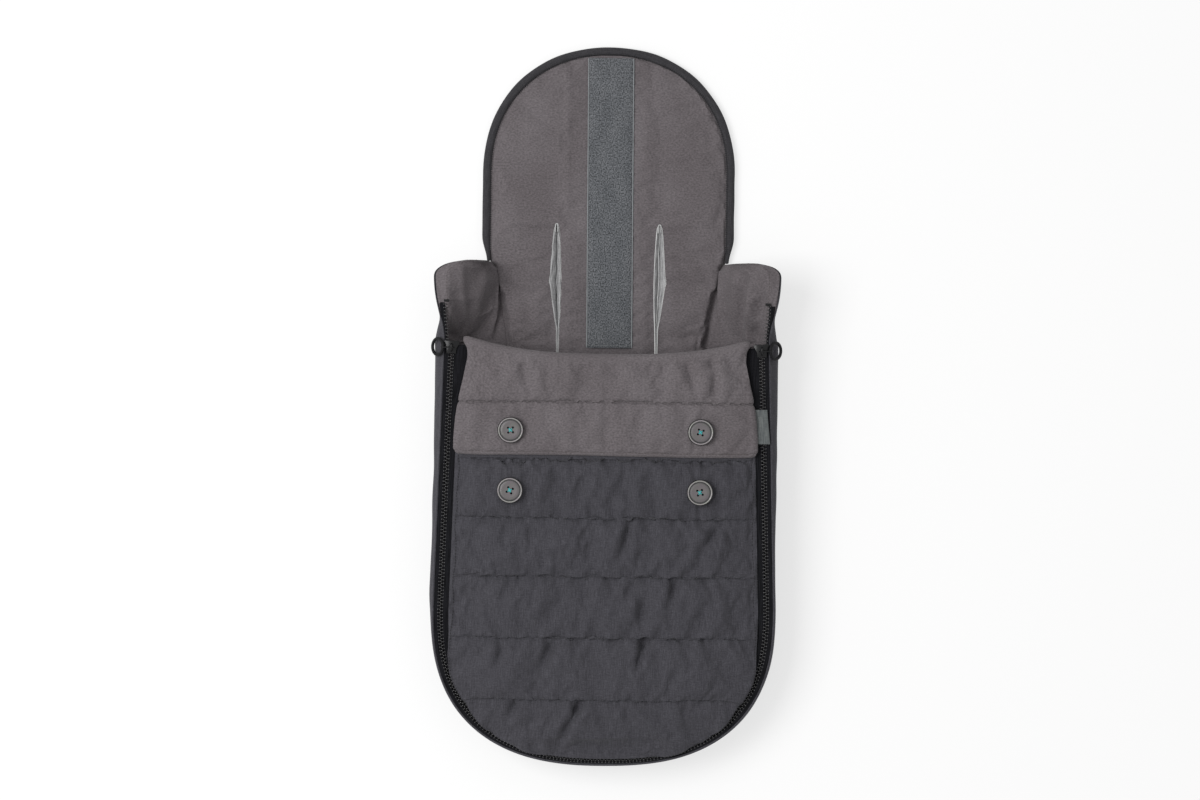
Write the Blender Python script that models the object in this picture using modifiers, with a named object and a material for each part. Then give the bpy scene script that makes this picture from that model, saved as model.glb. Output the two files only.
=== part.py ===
"""A pushchair footmuff, lying on its back: the head end towards +Y, +Z up, sizes in metres.

The open bag (back panel, walls and head panel) stands still. A quilted cover is zipped round its
rim. The cover swings open about the foot end, its cuff unfolds about the fold line, two sliders run
down the zip, and each slider has a ring pull that swings over its bail.

Everything on the zip is drawn in the zip plane, which falls towards the foot end. Points there are
(x, v, w): v runs up the plane from the foot end and w stands square to it.
"""

import math

import bmesh
import bpy
from mathutils import Matrix, Vector

MM = 0.001
GAP = 0.3 * MM

# Bag outline, seen from above
BAG_LENGTH = 772 * MM
FOOT_HALF_WIDTH = 184.6 * MM
WING_HALF_WIDTH = 185 * MM
FOOT_DEPTH = 167 * MM
FOOT_ROUNDNESS = 2.5
FOOT_STEPS = 14
WALL_LENGTH = 539 * MM
HEAD_HALF_WIDTH = 136 * MM
HEAD_DEPTH = 137 * MM
HEAD_ROUNDNESS = 2.15

# Back panel: half widths of its seam to the walls
SEAM_INSIDE_HEAD = 10 * MM
SEAT_TAPER = 18 * MM
SEAM_INSIDE_FOOT = 52.6 * MM
SEAM_HALF_AT_WING = HEAD_HALF_WIDTH - SEAM_INSIDE_HEAD
SEAM_HALF_AT_SEAT = SEAM_HALF_AT_WING - SEAT_TAPER
SEAM_HALF_AT_FOOT = FOOT_HALF_WIDTH - SEAM_INSIDE_FOOT
SEAT_FROM_FOOT = 450 * MM
FOOT_SEAM_INSET = 42 * MM

# Layers of the bag's fabric, outside to inside
SHELL = 1.0 * MM
WADDING = 6.0 * MM
FLEECE = 2.2 * MM
LAYER_GAP = 0.4 * MM
FLOOR_LIFT = 0.2 * MM
WING_CORNER = 16 * MM

# Head binding
BINDING_WIDTH = 9.6 * MM

# Loop-fastener strip and harness slots
STRIP_WIDTH = 50 * MM
STRIP_THICKNESS = 2.0 * MM
STRIP_FOOT_FROM_FOOT = 447 * MM
STRIP_HEAD_INSET = 12 * MM
SLOT_SPACING = 111 * MM
SLOT_LENGTH = 190 * MM
SLOT_WIDTH = 12 * MM
SLOT_FOOT_FROM_FOOT = 391 * MM
SLOT_LEAN = 1.87
FACING = 1.2 * MM
BARTACK = (9 * MM, 4.5 * MM, 1.4 * MM)

# Zip plane and chain
COVER_LENGTH = 452 * MM
ZIP_HEIGHT_AT_FOLD = 70 * MM
ZIP_HEIGHT_AT_FOOT = 50 * MM
CHAIN_INSIDE_WING = 20 * MM
CHAIN_INSIDE_FOOT = 10.6 * MM
CHAIN_HALF_AT_FOLD = WING_HALF_WIDTH - CHAIN_INSIDE_WING
CHAIN_HALF_AT_FOOT = FOOT_HALF_WIDTH - CHAIN_INSIDE_FOOT
CHAIN_FOOT_INSET = 6.5 * MM
CHAIN_HALF = 3.6 * MM
CHAIN_THICKNESS = 2.6 * MM
TOOTH_PITCH = 3.7 * MM
TOOTH_REACH = 1.2 * MM
TOOTH_GAP = 0.35 * MM
TAPE_THICKNESS = 0.8 * MM
RIM_OFFSET = 9.3 * MM
FOOT_RIM_OFFSET = 6.0 * MM
WALL_TAPE_BEYOND_FOLD = 41 * MM
TOP_STOP = (5.6 * MM, 2.6 * MM, 4.0 * MM)

# Sliders
SLIDER_BELOW_FOLD = 6 * MM
SLIDER_PARTING = 3.4 * MM
SLIDER_PLATE = 1.0 * MM
SLIDER_CLEARANCE = 0.35 * MM
SLIDER_SLOT = 1.4 * MM
BAIL_WIRE = 2.6 * MM
BAIL_RISE = 4.2 * MM
BAIL_LENGTH = 7.0 * MM
LINK_WIRE = 1.3 * MM
LINK_LENGTH = 9.0 * MM
LINK_EYE = 2.1 * MM
LINK_DROOP = math.radians(3)
RING_OUTER = 21 * MM
RING_WIRE = 3.6 * MM
RING_DROOP = math.radians(49)

# Cover
COVER_EDGE = 8.8 * MM
COVER_FOOT_EDGE = 4.4 * MM
TAPE_UNDERLAP = 1.4 * MM
COVER_CROWN = 9 * MM
LINING_CROWN = 3.5 * MM
QUILT_PUFF = 7 * MM
QUILT_PITCH = 65.2 * MM
QUILT_LINES = 5
FIRST_LINE_FROM_FOOT = 68 * MM
TIP_FADE = 45 * MM
TIP_ROWS = (0.3 * MM, 3 * MM, 9 * MM, 20 * MM, 34 * MM, 48 * MM)
COVER_END = 6 * MM

# Cuff
CUFF_INSIDE_CHAIN_AT_FOLD = 17 * MM
CUFF_INSIDE_CHAIN_AT_HEM = 5 * MM
CUFF_HALF_AT_FOLD = CHAIN_HALF_AT_FOLD - CUFF_INSIDE_CHAIN_AT_FOLD
CUFF_HALF_AT_HEM = CHAIN_HALF_AT_FOLD - CUFF_INSIDE_CHAIN_AT_HEM
CUFF_SEAM_FROM_FOLD = 63 * MM
CUFF_DEPTH = 119 * MM
BAND_THICKNESS = 4.0 * MM
CUFF_LIFT = 0.6 * MM
ROLL_WALL = 3.2 * MM
TAG_WIDTH = 37.5 * MM
TAG_REACH = 15.5 * MM
TAG_FROM_FOLD = 69 * MM
TAG_CLOTH = 0.6 * MM
TAG_LOOP = 2.0 * MM

# Buttons
BUTTON_DIAMETER = 28 * MM
BUTTON_THICKNESS = 4.4 * MM
BUTTON_SPACING = 202 * MM
UPPER_BUTTONS_FROM_FOLD = 93 * MM
LOWER_BUTTONS_FROM_FOLD = 157 * MM
BUTTON_HOLE = 2.4 * MM
BUTTON_HOLE_SPACING = 5.0 * MM
BUTTONHOLE_LENGTH = 30 * MM
BUTTONHOLE_WIDTH = 3.4 * MM
THREAD = 1.2 * MM
SHANK = 2.6 * MM

# Places that follow from the sizes above
HEAD_Y = BAG_LENGTH / 2
FOOT_Y = -BAG_LENGTH / 2
FOOT_CENTRE_Y = FOOT_Y + FOOT_DEPTH
WING_Y = FOOT_Y + WALL_LENGTH
ARCH_CENTRE_Y = HEAD_Y - HEAD_DEPTH
SEAT_Y = FOOT_Y + SEAT_FROM_FOOT
TILT = math.atan2(ZIP_HEIGHT_AT_FOLD - ZIP_HEIGHT_AT_FOOT, COVER_LENGTH)
V_FOLD = COVER_LENGTH / math.cos(TILT)
V_CENTRE = FOOT_DEPTH / math.cos(TILT)
CHAIN_DEPTH = V_CENTRE - CHAIN_FOOT_INSET
PANEL_TOP = SHELL + WADDING + FLEECE + 2 * LAYER_GAP
V_SLIDER = V_FOLD - SLIDER_BELOW_FOLD
CHANNEL_HEIGHT = CHAIN_THICKNESS / 2 + SLIDER_CLEARANCE
SLIDER_TOP = CHANNEL_HEIGHT + SLIDER_PLATE
COVER_END_V = V_FOLD - COVER_END
SHELL_EDGE_TOP = TAPE_THICKNESS / 2 + GAP + SHELL
LINING_EDGE_TOP = -TAPE_THICKNESS / 2 - 0.5 * MM

# Columns of the cover's layers, as shares of its half width
COLUMNS = (-1.0, -0.955, -0.86, -0.64, -0.33, 0.0, 0.33, 0.64, 0.86, 0.955, 1.0)

# Rows of a wall's section, as shares of the way up its outer face. Padding ends a row below the rim.
WALL_ROWS = (0.0, 0.2, 0.4, 0.58, 0.73, 0.86, 0.96, 1.0)

# A wall's section: how far in it leaves the floor and how high its shoulder is, on the zipped bag
# and on an open wing
FLOOR_SHARE = (0.27, 0.68)
SHOULDER_SHARE = (0.71, 0.5)
BULGE_SHARE = 0.07
WING_SHOULDER = 4 * MM
CORNER_LEAN = 1.25


def clear_scene():
    """Removes whatever the file starts with."""
    for obj in list(bpy.data.objects):
        bpy.data.objects.remove(obj, do_unlink=True)


def collection(name):
    """Makes a collection and hangs it in the scene."""
    made = bpy.data.collections.new(name)
    bpy.context.scene.collection.children.link(made)
    return made


clear_scene()
PARTS = collection("footmuff")
CUTTERS = collection("cutters")


def linear(channel):
    """One sRGB channel, 0 to 1, as a linear value."""
    return channel / 12.92 if channel <= 0.04045 else ((channel + 0.055) / 1.055) ** 2.4


def material(name, colour, roughness, metallic=0.0):
    """A Principled material from an sRGB hex colour."""
    made = bpy.data.materials.new(name)
    made.use_nodes = True
    shader = made.node_tree.nodes["Principled BSDF"]
    channels = [linear(int(colour[i : i + 2], 16) / 255) for i in (0, 2, 4)]
    shader.inputs["Base Color"].default_value = (*channels, 1.0)
    shader.inputs["Roughness"].default_value = roughness
    shader.inputs["Metallic"].default_value = metallic
    made.diffuse_color = (*channels, 1.0)
    return made


SHELL_CLOTH = material("charcoal_melange_polyester", "47464b", 0.85)
FLEECE_CLOTH = material("warm_grey_fleece", "65605f", 0.95)
WADDING_FIBRE = material("white_polyester_wadding", "dcdcd8", 0.95)
LOOP_TAPE = material("grey_loop_fastener", "5d5f63", 0.95)
SATIN = material("silver_grey_satin", "9c9c9c", 0.45)
ZIP_TAPE = material("black_zip_tape", "161618", 0.9)
ZIP_RESIN = material("black_moulded_zip", "1b1b1e", 0.45)
BLACK_METAL = material("black_lacquered_zinc", "141416", 0.35, 0.6)
RUBBER = material("black_rubber_ring", "18181a", 0.6)
BUTTON_RESIN = material("grey_pearl_resin", "6a686a", 0.35)
THREAD_BLUE = material("turquoise_thread", "4fb5b7", 0.8)
TAG_SATIN = material("grey_tag_ribbon", "646867", 0.7)


def place(obj, finish, group=PARTS):
    """Links an object to its collection and gives it its own material."""
    group.objects.link(obj)
    if finish:
        obj.data.materials.append(finish)
    return obj


def smooth(share):
    """A smooth step from 0 to 1."""
    share = min(1.0, max(0.0, share))
    return share * share * (3 - 2 * share)


def mix(a, b, share):
    """The value that lies the given share of the way from a to b."""
    return a + (b - a) * share


def round_arc(half, depth, roundness, angle):
    """A point on a superellipse: (x, y) at the angle, with its centre at the origin."""
    cos, sin = math.cos(angle), math.sin(angle)
    return (
        half * math.copysign(abs(cos) ** (2 / roundness), cos),
        depth * math.copysign(abs(sin) ** (2 / roundness), sin),
    )


def body_from(name, bm, finish, group=PARTS):
    """An object from a closed bmesh, with its faces turned out."""
    bmesh.ops.recalc_face_normals(bm, faces=bm.faces)
    mesh = bpy.data.meshes.new(name)
    bm.to_mesh(mesh)
    bm.free()
    mesh.shade_smooth()
    mesh.set_sharp_from_angle(angle=math.radians(40))
    return place(bpy.data.objects.new(name, mesh), finish, group)


def layer(name, upper, lower, finish, parent=None):
    """A closed layer between two grids of points with the same rows and columns.

    Both sides are split along the same diagonals, so layers on one grid never cut each other.
    """
    bm = bmesh.new()
    top = [[bm.verts.new(point) for point in row] for row in upper]
    low = [[bm.verts.new(point) for point in row] for row in lower]
    rows, columns = len(top), len(top[0])
    for side in (top, low):
        for i in range(rows - 1):
            for j in range(columns - 1):
                bm.faces.new((side[i][j], side[i + 1][j], side[i + 1][j + 1]))
                bm.faces.new((side[i][j], side[i + 1][j + 1], side[i][j + 1]))
    edge = [(i, 0) for i in range(rows)]
    edge += [(rows - 1, j) for j in range(1, columns)]
    edge += [(i, columns - 1) for i in range(rows - 2, -1, -1)]
    edge += [(0, j) for j in range(columns - 2, 0, -1)]
    for (i, j), (k, m) in zip(edge, edge[1:] + edge[:1]):
        bm.faces.new((top[i][j], top[k][m], low[k][m], low[i][j]))
    made = body_from(name, bm, finish)
    made.parent = parent
    return made


def flat_piece(name, outlines, bottom, top, finish, parent=None, group=PARTS):
    """A flat piece from closed outlines, the first its edge and the others holes."""
    curve = bpy.data.curves.new(name, "CURVE")
    curve.dimensions = "2D"
    curve.fill_mode = "BOTH"
    curve.extrude = (top - bottom) / 2
    for outline in outlines:
        spline = curve.splines.new("POLY")
        spline.points.add(len(outline) - 1)
        spline.use_cyclic_u = True
        for point, (x, y) in zip(spline.points, outline):
            point.co = (x, y, 0, 1)
    made = place(bpy.data.objects.new(name, curve), finish, group)
    made.location = (0, 0, (top + bottom) / 2)
    made.parent = parent
    return made


def tube(name, points, radius, finish, parent=None, cyclic=False, sides=1):
    """A round wire through the points, with closed ends."""
    curve = bpy.data.curves.new(name, "CURVE")
    curve.dimensions = "3D"
    curve.bevel_depth = radius
    curve.bevel_resolution = sides
    curve.use_fill_caps = not cyclic
    spline = curve.splines.new("POLY")
    spline.points.add(len(points) - 1)
    spline.use_cyclic_u = cyclic
    for point, place_at in zip(spline.points, points):
        point.co = (*place_at, 1)
    made = place(bpy.data.objects.new(name, curve), finish)
    made.parent = parent
    return made


def to_mesh(obj):
    """Turns a curve object, or one with modifiers, into a plain welded mesh object."""
    bpy.context.view_layer.update()
    graph = bpy.context.evaluated_depsgraph_get()
    mesh = bpy.data.meshes.new_from_object(obj.evaluated_get(graph))
    bm = bmesh.new()
    bm.from_mesh(mesh)
    bmesh.ops.remove_doubles(bm, verts=bm.verts, dist=1e-6)
    bmesh.ops.recalc_face_normals(bm, faces=bm.faces)
    bm.to_mesh(mesh)
    bm.free()
    name, group = obj.name, obj.users_collection[0]
    made = bpy.data.objects.new(name + "_mesh", mesh)
    group.objects.link(made)
    made.parent = obj.parent
    made.matrix_local = obj.matrix_local.copy()
    bpy.data.objects.remove(obj, do_unlink=True)
    made.name = name
    return made


def hide(obj):
    """Marks an object as a cutter or helper, which isn't part of the model."""
    obj.hide_render = True
    obj.display_type = "WIRE"
    return obj


def combine(obj, other, operation):
    """Adds a Boolean of another mesh object, which is kept as a helper."""
    boolean = obj.modifiers.new(operation.lower(), "BOOLEAN")
    boolean.operation = operation
    boolean.solver = "EXACT"
    boolean.object = hide(other)


def primitive(name, maker, finish=None, group=CUTTERS, **sizes):
    """A bmesh primitive as an object, by default among the helpers."""
    bm = bmesh.new()
    maker(bm, **sizes)
    return body_from(name, bm, finish, group)


def box(name, size, finish=None, group=CUTTERS):
    """A block of the given width, length and height, round its origin."""
    stretch = Matrix.Diagonal((*size, 1.0))
    return primitive(name, bmesh.ops.create_cube, finish, group, size=1.0, matrix=stretch)


def empty(name, location=(0, 0, 0), rotation=(0, 0, 0), parent=None):
    """A frame of reference that pieces hang from."""
    made = bpy.data.objects.new(name, None)
    made.empty_display_size = 0.02
    PARTS.objects.link(made)
    made.location = location
    made.rotation_euler = rotation
    made.parent = parent
    return made


ZIP_PLANE = empty("zip_plane", (0, FOOT_Y, ZIP_HEIGHT_AT_FOOT), (TILT, 0, 0))


def plane_height(y):
    """The zip plane's height above the ground at a place along the bag."""
    return ZIP_HEIGHT_AT_FOOT + (y - FOOT_Y) * math.tan(TILT)


def to_v(y):
    """The place up the zip plane of a place along the bag."""
    return (y - FOOT_Y) / math.cos(TILT)


# Outlines of the bag


def chain_x(v):
    """Half the distance between the two straight runs of the zip chain."""
    run = (v - V_CENTRE) / (V_FOLD - V_CENTRE)
    return mix(CHAIN_HALF_AT_FOOT, CHAIN_HALF_AT_FOLD, run)


def silhouette_x(y):
    """Half the width of the bag at its widest height."""
    run = (y - FOOT_CENTRE_Y) / (WING_Y - FOOT_CENTRE_Y)
    return mix(FOOT_HALF_WIDTH, WING_HALF_WIDTH, run)


def seam_x(y):
    """Half the width of the back panel at its seam to the walls."""
    if y >= SEAT_Y:
        run = (y - SEAT_Y) / (WING_Y - SEAT_Y)
        return mix(SEAM_HALF_AT_SEAT, SEAM_HALF_AT_WING, min(run, 1.0) ** 1.4)
    run = (y - FOOT_CENTRE_Y) / (SEAT_Y - FOOT_CENTRE_Y)
    return mix(SEAM_HALF_AT_FOOT, SEAM_HALF_AT_SEAT, smooth(run))


def chain_slant():
    """How far the chain's straight runs turn in towards each other on their way up."""
    return math.atan2(CHAIN_HALF_AT_FOOT - CHAIN_HALF_AT_FOLD, V_FOLD - V_CENTRE)


def rim_flare(v):
    """How far the walls' rim opens outwards above the fold line."""
    v_wing = to_v(WING_Y)
    full = WING_HALF_WIDTH - chain_x(v_wing) - RIM_OFFSET
    return full * smooth((v - V_FOLD) / (v_wing - V_FOLD))


def chain_spread(v):
    """How far each half of the chain stands off the closed chain's middle line."""
    start = V_SLIDER - 4 * MM
    parted = SLIDER_PARTING * smooth((v - start) / (9 * MM))
    open_run = (v - V_FOLD) / WALL_TAPE_BEYOND_FOLD
    return parted + 4 * MM * smooth(open_run)


def side_places():
    """Places along the bag where the walls and the back panel share their seam's corners."""
    bag = [FOOT_CENTRE_Y + GAP / 2]
    bag += [mix(FOOT_CENTRE_Y, SEAT_Y, share) for share in (0.33, 0.66, 0.97)]
    return bag + [WING_Y - fall * WING_CORNER for fall in (4.4, 2.9, 1.8, 1.0, 0.4, 0.0)]


def panel_outline():
    """The back panel's edge inside the head binding and the wall seams."""
    half = HEAD_HALF_WIDTH - BINDING_WIDTH - GAP
    depth = HEAD_DEPTH - BINDING_WIDTH - GAP
    steps = 18
    right = []
    for i in range(steps + 1):
        x, y = round_arc(half, depth, HEAD_ROUNDNESS, math.pi / 2 * (1 - i / steps))
        right.append((x, ARCH_CENTRE_Y + y))
    for y in reversed(side_places()[1:]):
        right.append((min(half, seam_x(y)), y))
    foot_depth = FOOT_DEPTH - FOOT_SEAM_INSET
    for i in range(FOOT_STEPS // 2 + 1):
        angle = -math.pi * i / FOOT_STEPS
        x, y = round_arc(SEAM_HALF_AT_FOOT, foot_depth, FOOT_ROUNDNESS, angle)
        right.append((x, FOOT_CENTRE_Y + y))
    left = [(-x, y) for x, y in reversed(right[1:-1])]
    return right + left


def slot_outline(side, grow=0.0):
    """A harness slot: a lens that is widest in its upper half, grown by a margin."""
    foot_y = FOOT_Y + SLOT_FOOT_FROM_FOOT
    steps = 10
    edge = []
    for i in range(1, steps):
        run = i / steps
        half = SLOT_WIDTH / 2 * math.sin(math.pi * run**SLOT_LEAN) + grow
        edge.append((max(half, grow + GAP), foot_y + SLOT_LENGTH * run))
    ends = [(0.0, foot_y - grow)], [(0.0, foot_y + SLOT_LENGTH + grow)]
    lens = ends[0] + edge + ends[1] + [(-x, y) for x, y in reversed(edge)]
    return [(side * SLOT_SPACING / 2 + x, y) for x, y in lens]


# Back panel


def make_back_panel():
    """The three sewn layers of the back, the strip, the slots' facings and the binding."""
    holes = [slot_outline(side, FACING + GAP) for side in (-1, 1)]
    stack = (
        ("back_shell", SHELL, SHELL_CLOTH),
        ("back_wadding", WADDING, WADDING_FIBRE),
        ("back_lining", FLEECE, FLEECE_CLOTH),
    )
    height = 0.0
    for name, thickness, finish in stack:
        flat_piece(name, [panel_outline(), *holes], height, height + thickness, finish)
        height += thickness + LAYER_GAP
    for side, word in ((-1, "left"), (1, "right")):
        rings = [slot_outline(side, FACING), slot_outline(side)]
        flat_piece("slot_facing_" + word, rings, FLOOR_LIFT, PANEL_TOP, SATIN)
        tack = box("slot_bartack_" + word, BARTACK, SATIN, PARTS)
        tack.location = (
            side * SLOT_SPACING / 2,
            FOOT_Y + SLOT_FOOT_FROM_FOOT + SLOT_LENGTH,
            PANEL_TOP + GAP + BARTACK[2] / 2,
        )
    half = STRIP_WIDTH / 2
    low = FOOT_Y + STRIP_FOOT_FROM_FOOT
    high = HEAD_Y - STRIP_HEAD_INSET
    strip = [(-half, low), (half, low), (half, high), (-half, high)]
    bottom = PANEL_TOP + GAP
    flat_piece("loop_strip", [strip], bottom, bottom + STRIP_THICKNESS, LOOP_TAPE)
    make_head_binding()


def make_head_binding():
    """The rolled edge of the head panel: a round bead from wing to wing."""
    radius = BINDING_WIDTH / 2
    half, depth = HEAD_HALF_WIDTH - radius, HEAD_DEPTH - radius
    height = FLOOR_LIFT + radius
    first = WING_Y + radius
    points = [(half, first + (ARCH_CENTRE_Y - first) * i / 3, height) for i in range(3)]
    steps = 26
    for i in range(steps + 1):
        x, y = round_arc(half, depth, HEAD_ROUNDNESS, math.pi * i / steps)
        points.append((x, ARCH_CENTRE_Y + y, height))
    points += [(-x, y, z) for x, y, z in reversed(points[:3])]
    tube("head_binding", points, radius, SHELL_CLOTH)


# Walls


def wall_profile(depth, rim_inset, rim_height, openness, end, rows):
    """Points and inward normals of a wall's outer face, from its seam up to its rim.

    Each is (inset, height) in the upright section: inset runs inwards from the silhouette. The bag's
    walls bulge out and lean back in to the zip; an open wing rises straight outwards.
    """
    start = Vector((depth, FLOOR_LIFT))
    near_floor = Vector((depth * mix(*FLOOR_SHARE, openness), FLOOR_LIFT))
    bulge = -(BULGE_SHARE * depth + rim_inset)
    height = rim_height * mix(*SHOULDER_SHARE, openness)
    shoulder = Vector((mix(bulge, WING_SHOULDER, openness), height))
    rim = Vector((rim_inset, rim_height))
    points = []
    for share in rows:
        t = share * end
        s = 1 - t
        spot = s**3 * start + 3 * s * s * t * near_floor + 3 * s * t * t * shoulder + t**3 * rim
        along = (
            s * s * (near_floor - start) + 2 * s * t * (shoulder - near_floor) + t * t * (rim - shoulder)
        ).normalized()
        points.append((spot, Vector((along.y, -along.x))))
    return points


def side_station(side, y):
    """A wall's upright section at a place along one side: its plan points and profile values."""
    v = to_v(y)
    outer = Vector((side * silhouette_x(y), y))
    seam = Vector((side * (seam_x(y) + GAP), y))
    rim_x = chain_x(v) + RIM_OFFSET + rim_flare(v)
    corner = (y - (WING_Y - WING_CORNER)) / WING_CORNER
    drop = WING_CORNER * (1 - math.sqrt(1 - min(1.0, max(0.0, corner)) ** 2))
    openness = smooth((y - SEAT_Y) / (WING_Y - SEAT_Y))
    height = plane_height(y) - TAPE_THICKNESS / 2 - GAP
    return outer, seam, silhouette_x(y) - rim_x, height, openness, drop


def foot_station(angle):
    """The same for the foot wall, at an angle round the foot from the right side."""
    x, y = round_arc(FOOT_HALF_WIDTH, FOOT_DEPTH, FOOT_ROUNDNESS, -angle)
    outer = Vector((x, FOOT_CENTRE_Y + y))
    x, y = round_arc(
        SEAM_HALF_AT_FOOT + GAP, FOOT_DEPTH - FOOT_SEAM_INSET + GAP, FOOT_ROUNDNESS, -angle
    )
    seam = Vector((x, FOOT_CENTRE_Y + y))
    around = math.sin(angle)
    chain_inset = mix(FOOT_HALF_WIDTH - CHAIN_HALF_AT_FOOT, CHAIN_FOOT_INSET, around)
    rim_inset = chain_inset - mix(RIM_OFFSET, FOOT_RIM_OFFSET, around)
    height = plane_height(outer.y) - TAPE_THICKNESS / 2 - GAP
    return outer, seam, rim_inset, height, 0.0, 0.0


def wall_layer(name, stations, near, far, rows, finish):
    """One sewn layer of a wall, between two depths under its outer face."""
    outside, inside = [], []
    for outer, seam, rim_inset, height, openness, drop in stations:
        inward = seam - outer
        depth = inward.length
        inward = inward / depth
        end = 1 - drop / (height * CORNER_LEAN)
        profile = wall_profile(depth, rim_inset, height, openness, end, rows)
        for offset, grid in ((near, outside), (far, inside)):
            line = []
            for spot, normal in profile:
                moved = spot + normal * offset
                plan = outer + inward * moved.x
                line.append((plan.x, plan.y, moved.y))
            grid.append(line)
    return layer(name, outside, inside, finish)


def make_walls():
    """Side and foot walls, each of shell, wadding and fleece."""
    first = (GAP / 2 / FOOT_DEPTH) ** (FOOT_ROUNDNESS / 2)
    angles = [math.pi * i / FOOT_STEPS for i in range(FOOT_STEPS + 1)]
    angles[0], angles[-1] = first, math.pi - first
    runs = [
        ("foot_wall", [foot_station(angle) for angle in angles]),
        ("left_wall", [side_station(-1, y) for y in side_places()]),
        ("right_wall", [side_station(1, y) for y in side_places()]),
    ]
    depth = 0.0
    for word, thickness, rows, finish in (
        ("shell", SHELL, WALL_ROWS, SHELL_CLOTH),
        ("wadding", WADDING, WALL_ROWS[:-1], WADDING_FIBRE),
        ("lining", FLEECE, WALL_ROWS[:-1], FLEECE_CLOTH),
    ):
        for wall, stations in runs:
            wall_layer(wall + "_" + word, stations, depth, depth + thickness, rows, finish)
        depth += thickness + LAYER_GAP


# Zip chain and tapes


def chain_stations(above):
    """Evenly spaced points down the right run, round the foot and up the left, in the zip plane.

    Both halves of the zip take them from the wall's longer run, so that their teeth mesh.

    Args:
        above: how far beyond the fold line the half may reach.
    Returns:
        A list of (point, outward normal), half a tooth pitch apart.
    """
    top = V_FOLD + WALL_TAPE_BEYOND_FOLD
    dense = [(chain_x(mix(top, V_CENTRE, i / 200)), mix(top, V_CENTRE, i / 200)) for i in range(200)]
    for i in range(401):
        x, y = round_arc(CHAIN_HALF_AT_FOOT, CHAIN_DEPTH, FOOT_ROUNDNESS, -math.pi / 2 * i / 400)
        dense.append((x, V_CENTRE + y))
    dense += [(-x, v) for x, v in reversed(dense[:-1])]
    dense = [Vector(point) for point in dense]
    reach = [0.0]
    for a, b in zip(dense, dense[1:]):
        reach.append(reach[-1] + (b - a).length)
    count = 2 * round(reach[-1] / TOOTH_PITCH)
    stations = []
    at = 0
    for i in range(count + 1):
        wanted = reach[-1] * i / count
        while at < len(dense) - 2 and reach[at + 1] < wanted:
            at += 1
        along = dense[at + 1] - dense[at]
        spot = dense[at] + along * ((wanted - reach[at]) / along.length)
        along.normalize()
        stations.append((spot, Vector((-along.y, along.x))))
    spare = sum(spot.y > V_FOLD + above for spot, _ in stations[: count // 2])
    spare += spare % 2
    return stations[spare : len(stations) - spare]


def edge_stations(stations):
    """The stations that a plain edge needs: every one where the chain parts, few elsewhere."""
    last = len(stations) - 1
    parting = V_SLIDER - 6 * MM
    return [
        station
        for i, station in enumerate(stations)
        if i % 12 == 0 or i == last or (i % 2 == 0 and station[0].y > parting)
    ]


def foot_share(spot):
    """0 on the straight runs, rising to 1 at the foot end's middle."""
    run = max(0.0, (V_CENTRE - spot.y) / CHAIN_DEPTH)
    return min(1.0, run) ** FOOT_ROUNDNESS


def comb_outline(above, side):
    """The toothed strip of one side of the zip: a zigzag edge that seats in its partner's."""
    stations = chain_stations(above)
    toothed = []
    for i, (spot, normal) in enumerate(stations):
        reach = TOOTH_REACH if i % 2 else -TOOTH_REACH
        offset = side * chain_spread(spot.y) + reach + side * TOOTH_GAP
        toothed.append(spot + normal * offset)
    plain = [
        spot + normal * side * (chain_spread(spot.y) + CHAIN_HALF)
        for spot, normal in edge_stations(stations)
    ]
    return [tuple(point) for point in toothed + plain[::-1]]


def tape_outline(above, side):
    """One half of the zip's woven tape, from the teeth to the edge that is sewn in."""
    near, far = [], []
    for spot, normal in edge_stations(chain_stations(above)):
        at_foot = foot_share(spot)
        if side > 0:
            sewn = mix(RIM_OFFSET, FOOT_RIM_OFFSET, at_foot) + rim_flare(spot.y)
        else:
            sewn = -mix(COVER_EDGE, COVER_FOOT_EDGE, at_foot) - TAPE_UNDERLAP
        near.append(spot + normal * side * (CHAIN_HALF + GAP + chain_spread(spot.y)))
        far.append(spot + normal * sewn)
    return [tuple(point) for point in near + far[::-1]]


def make_zip():
    """Both halves of the zip, the wall's running on past the fold to its open ends."""
    half = CHAIN_THICKNESS / 2
    tape = TAPE_THICKNESS / 2
    cover_above = -SLIDER_BELOW_FOLD + 3 * MM
    for word, side, above in (("wall", 1, WALL_TAPE_BEYOND_FOLD), ("cover", -1, cover_above)):
        comb = comb_outline(above, side)
        flat_piece(word + "_zip_teeth", [comb], -half, half, ZIP_RESIN, ZIP_PLANE)
        strip = tape_outline(above, side)
        flat_piece(word + "_zip_tape", [strip], -tape, tape, ZIP_TAPE, ZIP_PLANE)
    v = V_FOLD + WALL_TAPE_BEYOND_FOLD + 2 * GAP + TOP_STOP[1] / 2
    slant = chain_slant()
    x = chain_x(v) + chain_spread(v) * math.cos(slant)
    for word, side in (("left", -1), ("right", 1)):
        stop = box("top_stop_" + word, TOP_STOP, BLACK_METAL, PARTS)
        stop.parent = ZIP_PLANE
        stop.location = (side * x, v + chain_spread(v) * math.sin(slant), 0)
        stop.rotation_euler = (0, 0, side * slant)


# Sliders and ring pulls


def slider_outline():
    """The slider's heart shape: narrow where the chain is closed, wide where it parts."""
    right = [(5.0, -7.0), (5.2, -2.0), (6.9, 1.2), (8.3, 3.6), (8.4, 5.4), (7.0, 6.9), (3.4, 6.6)]
    right = [(q * MM, p * MM) for q, p in right]
    return right + [(0.0, 6.2 * MM)] + [(-q, p) for q, p in reversed(right)]


def channel_half(p):
    """Half the width of the slider's channel at a place along it."""
    return CHAIN_HALF + SLIDER_CLEARANCE + chain_spread(V_SLIDER + p)


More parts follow.
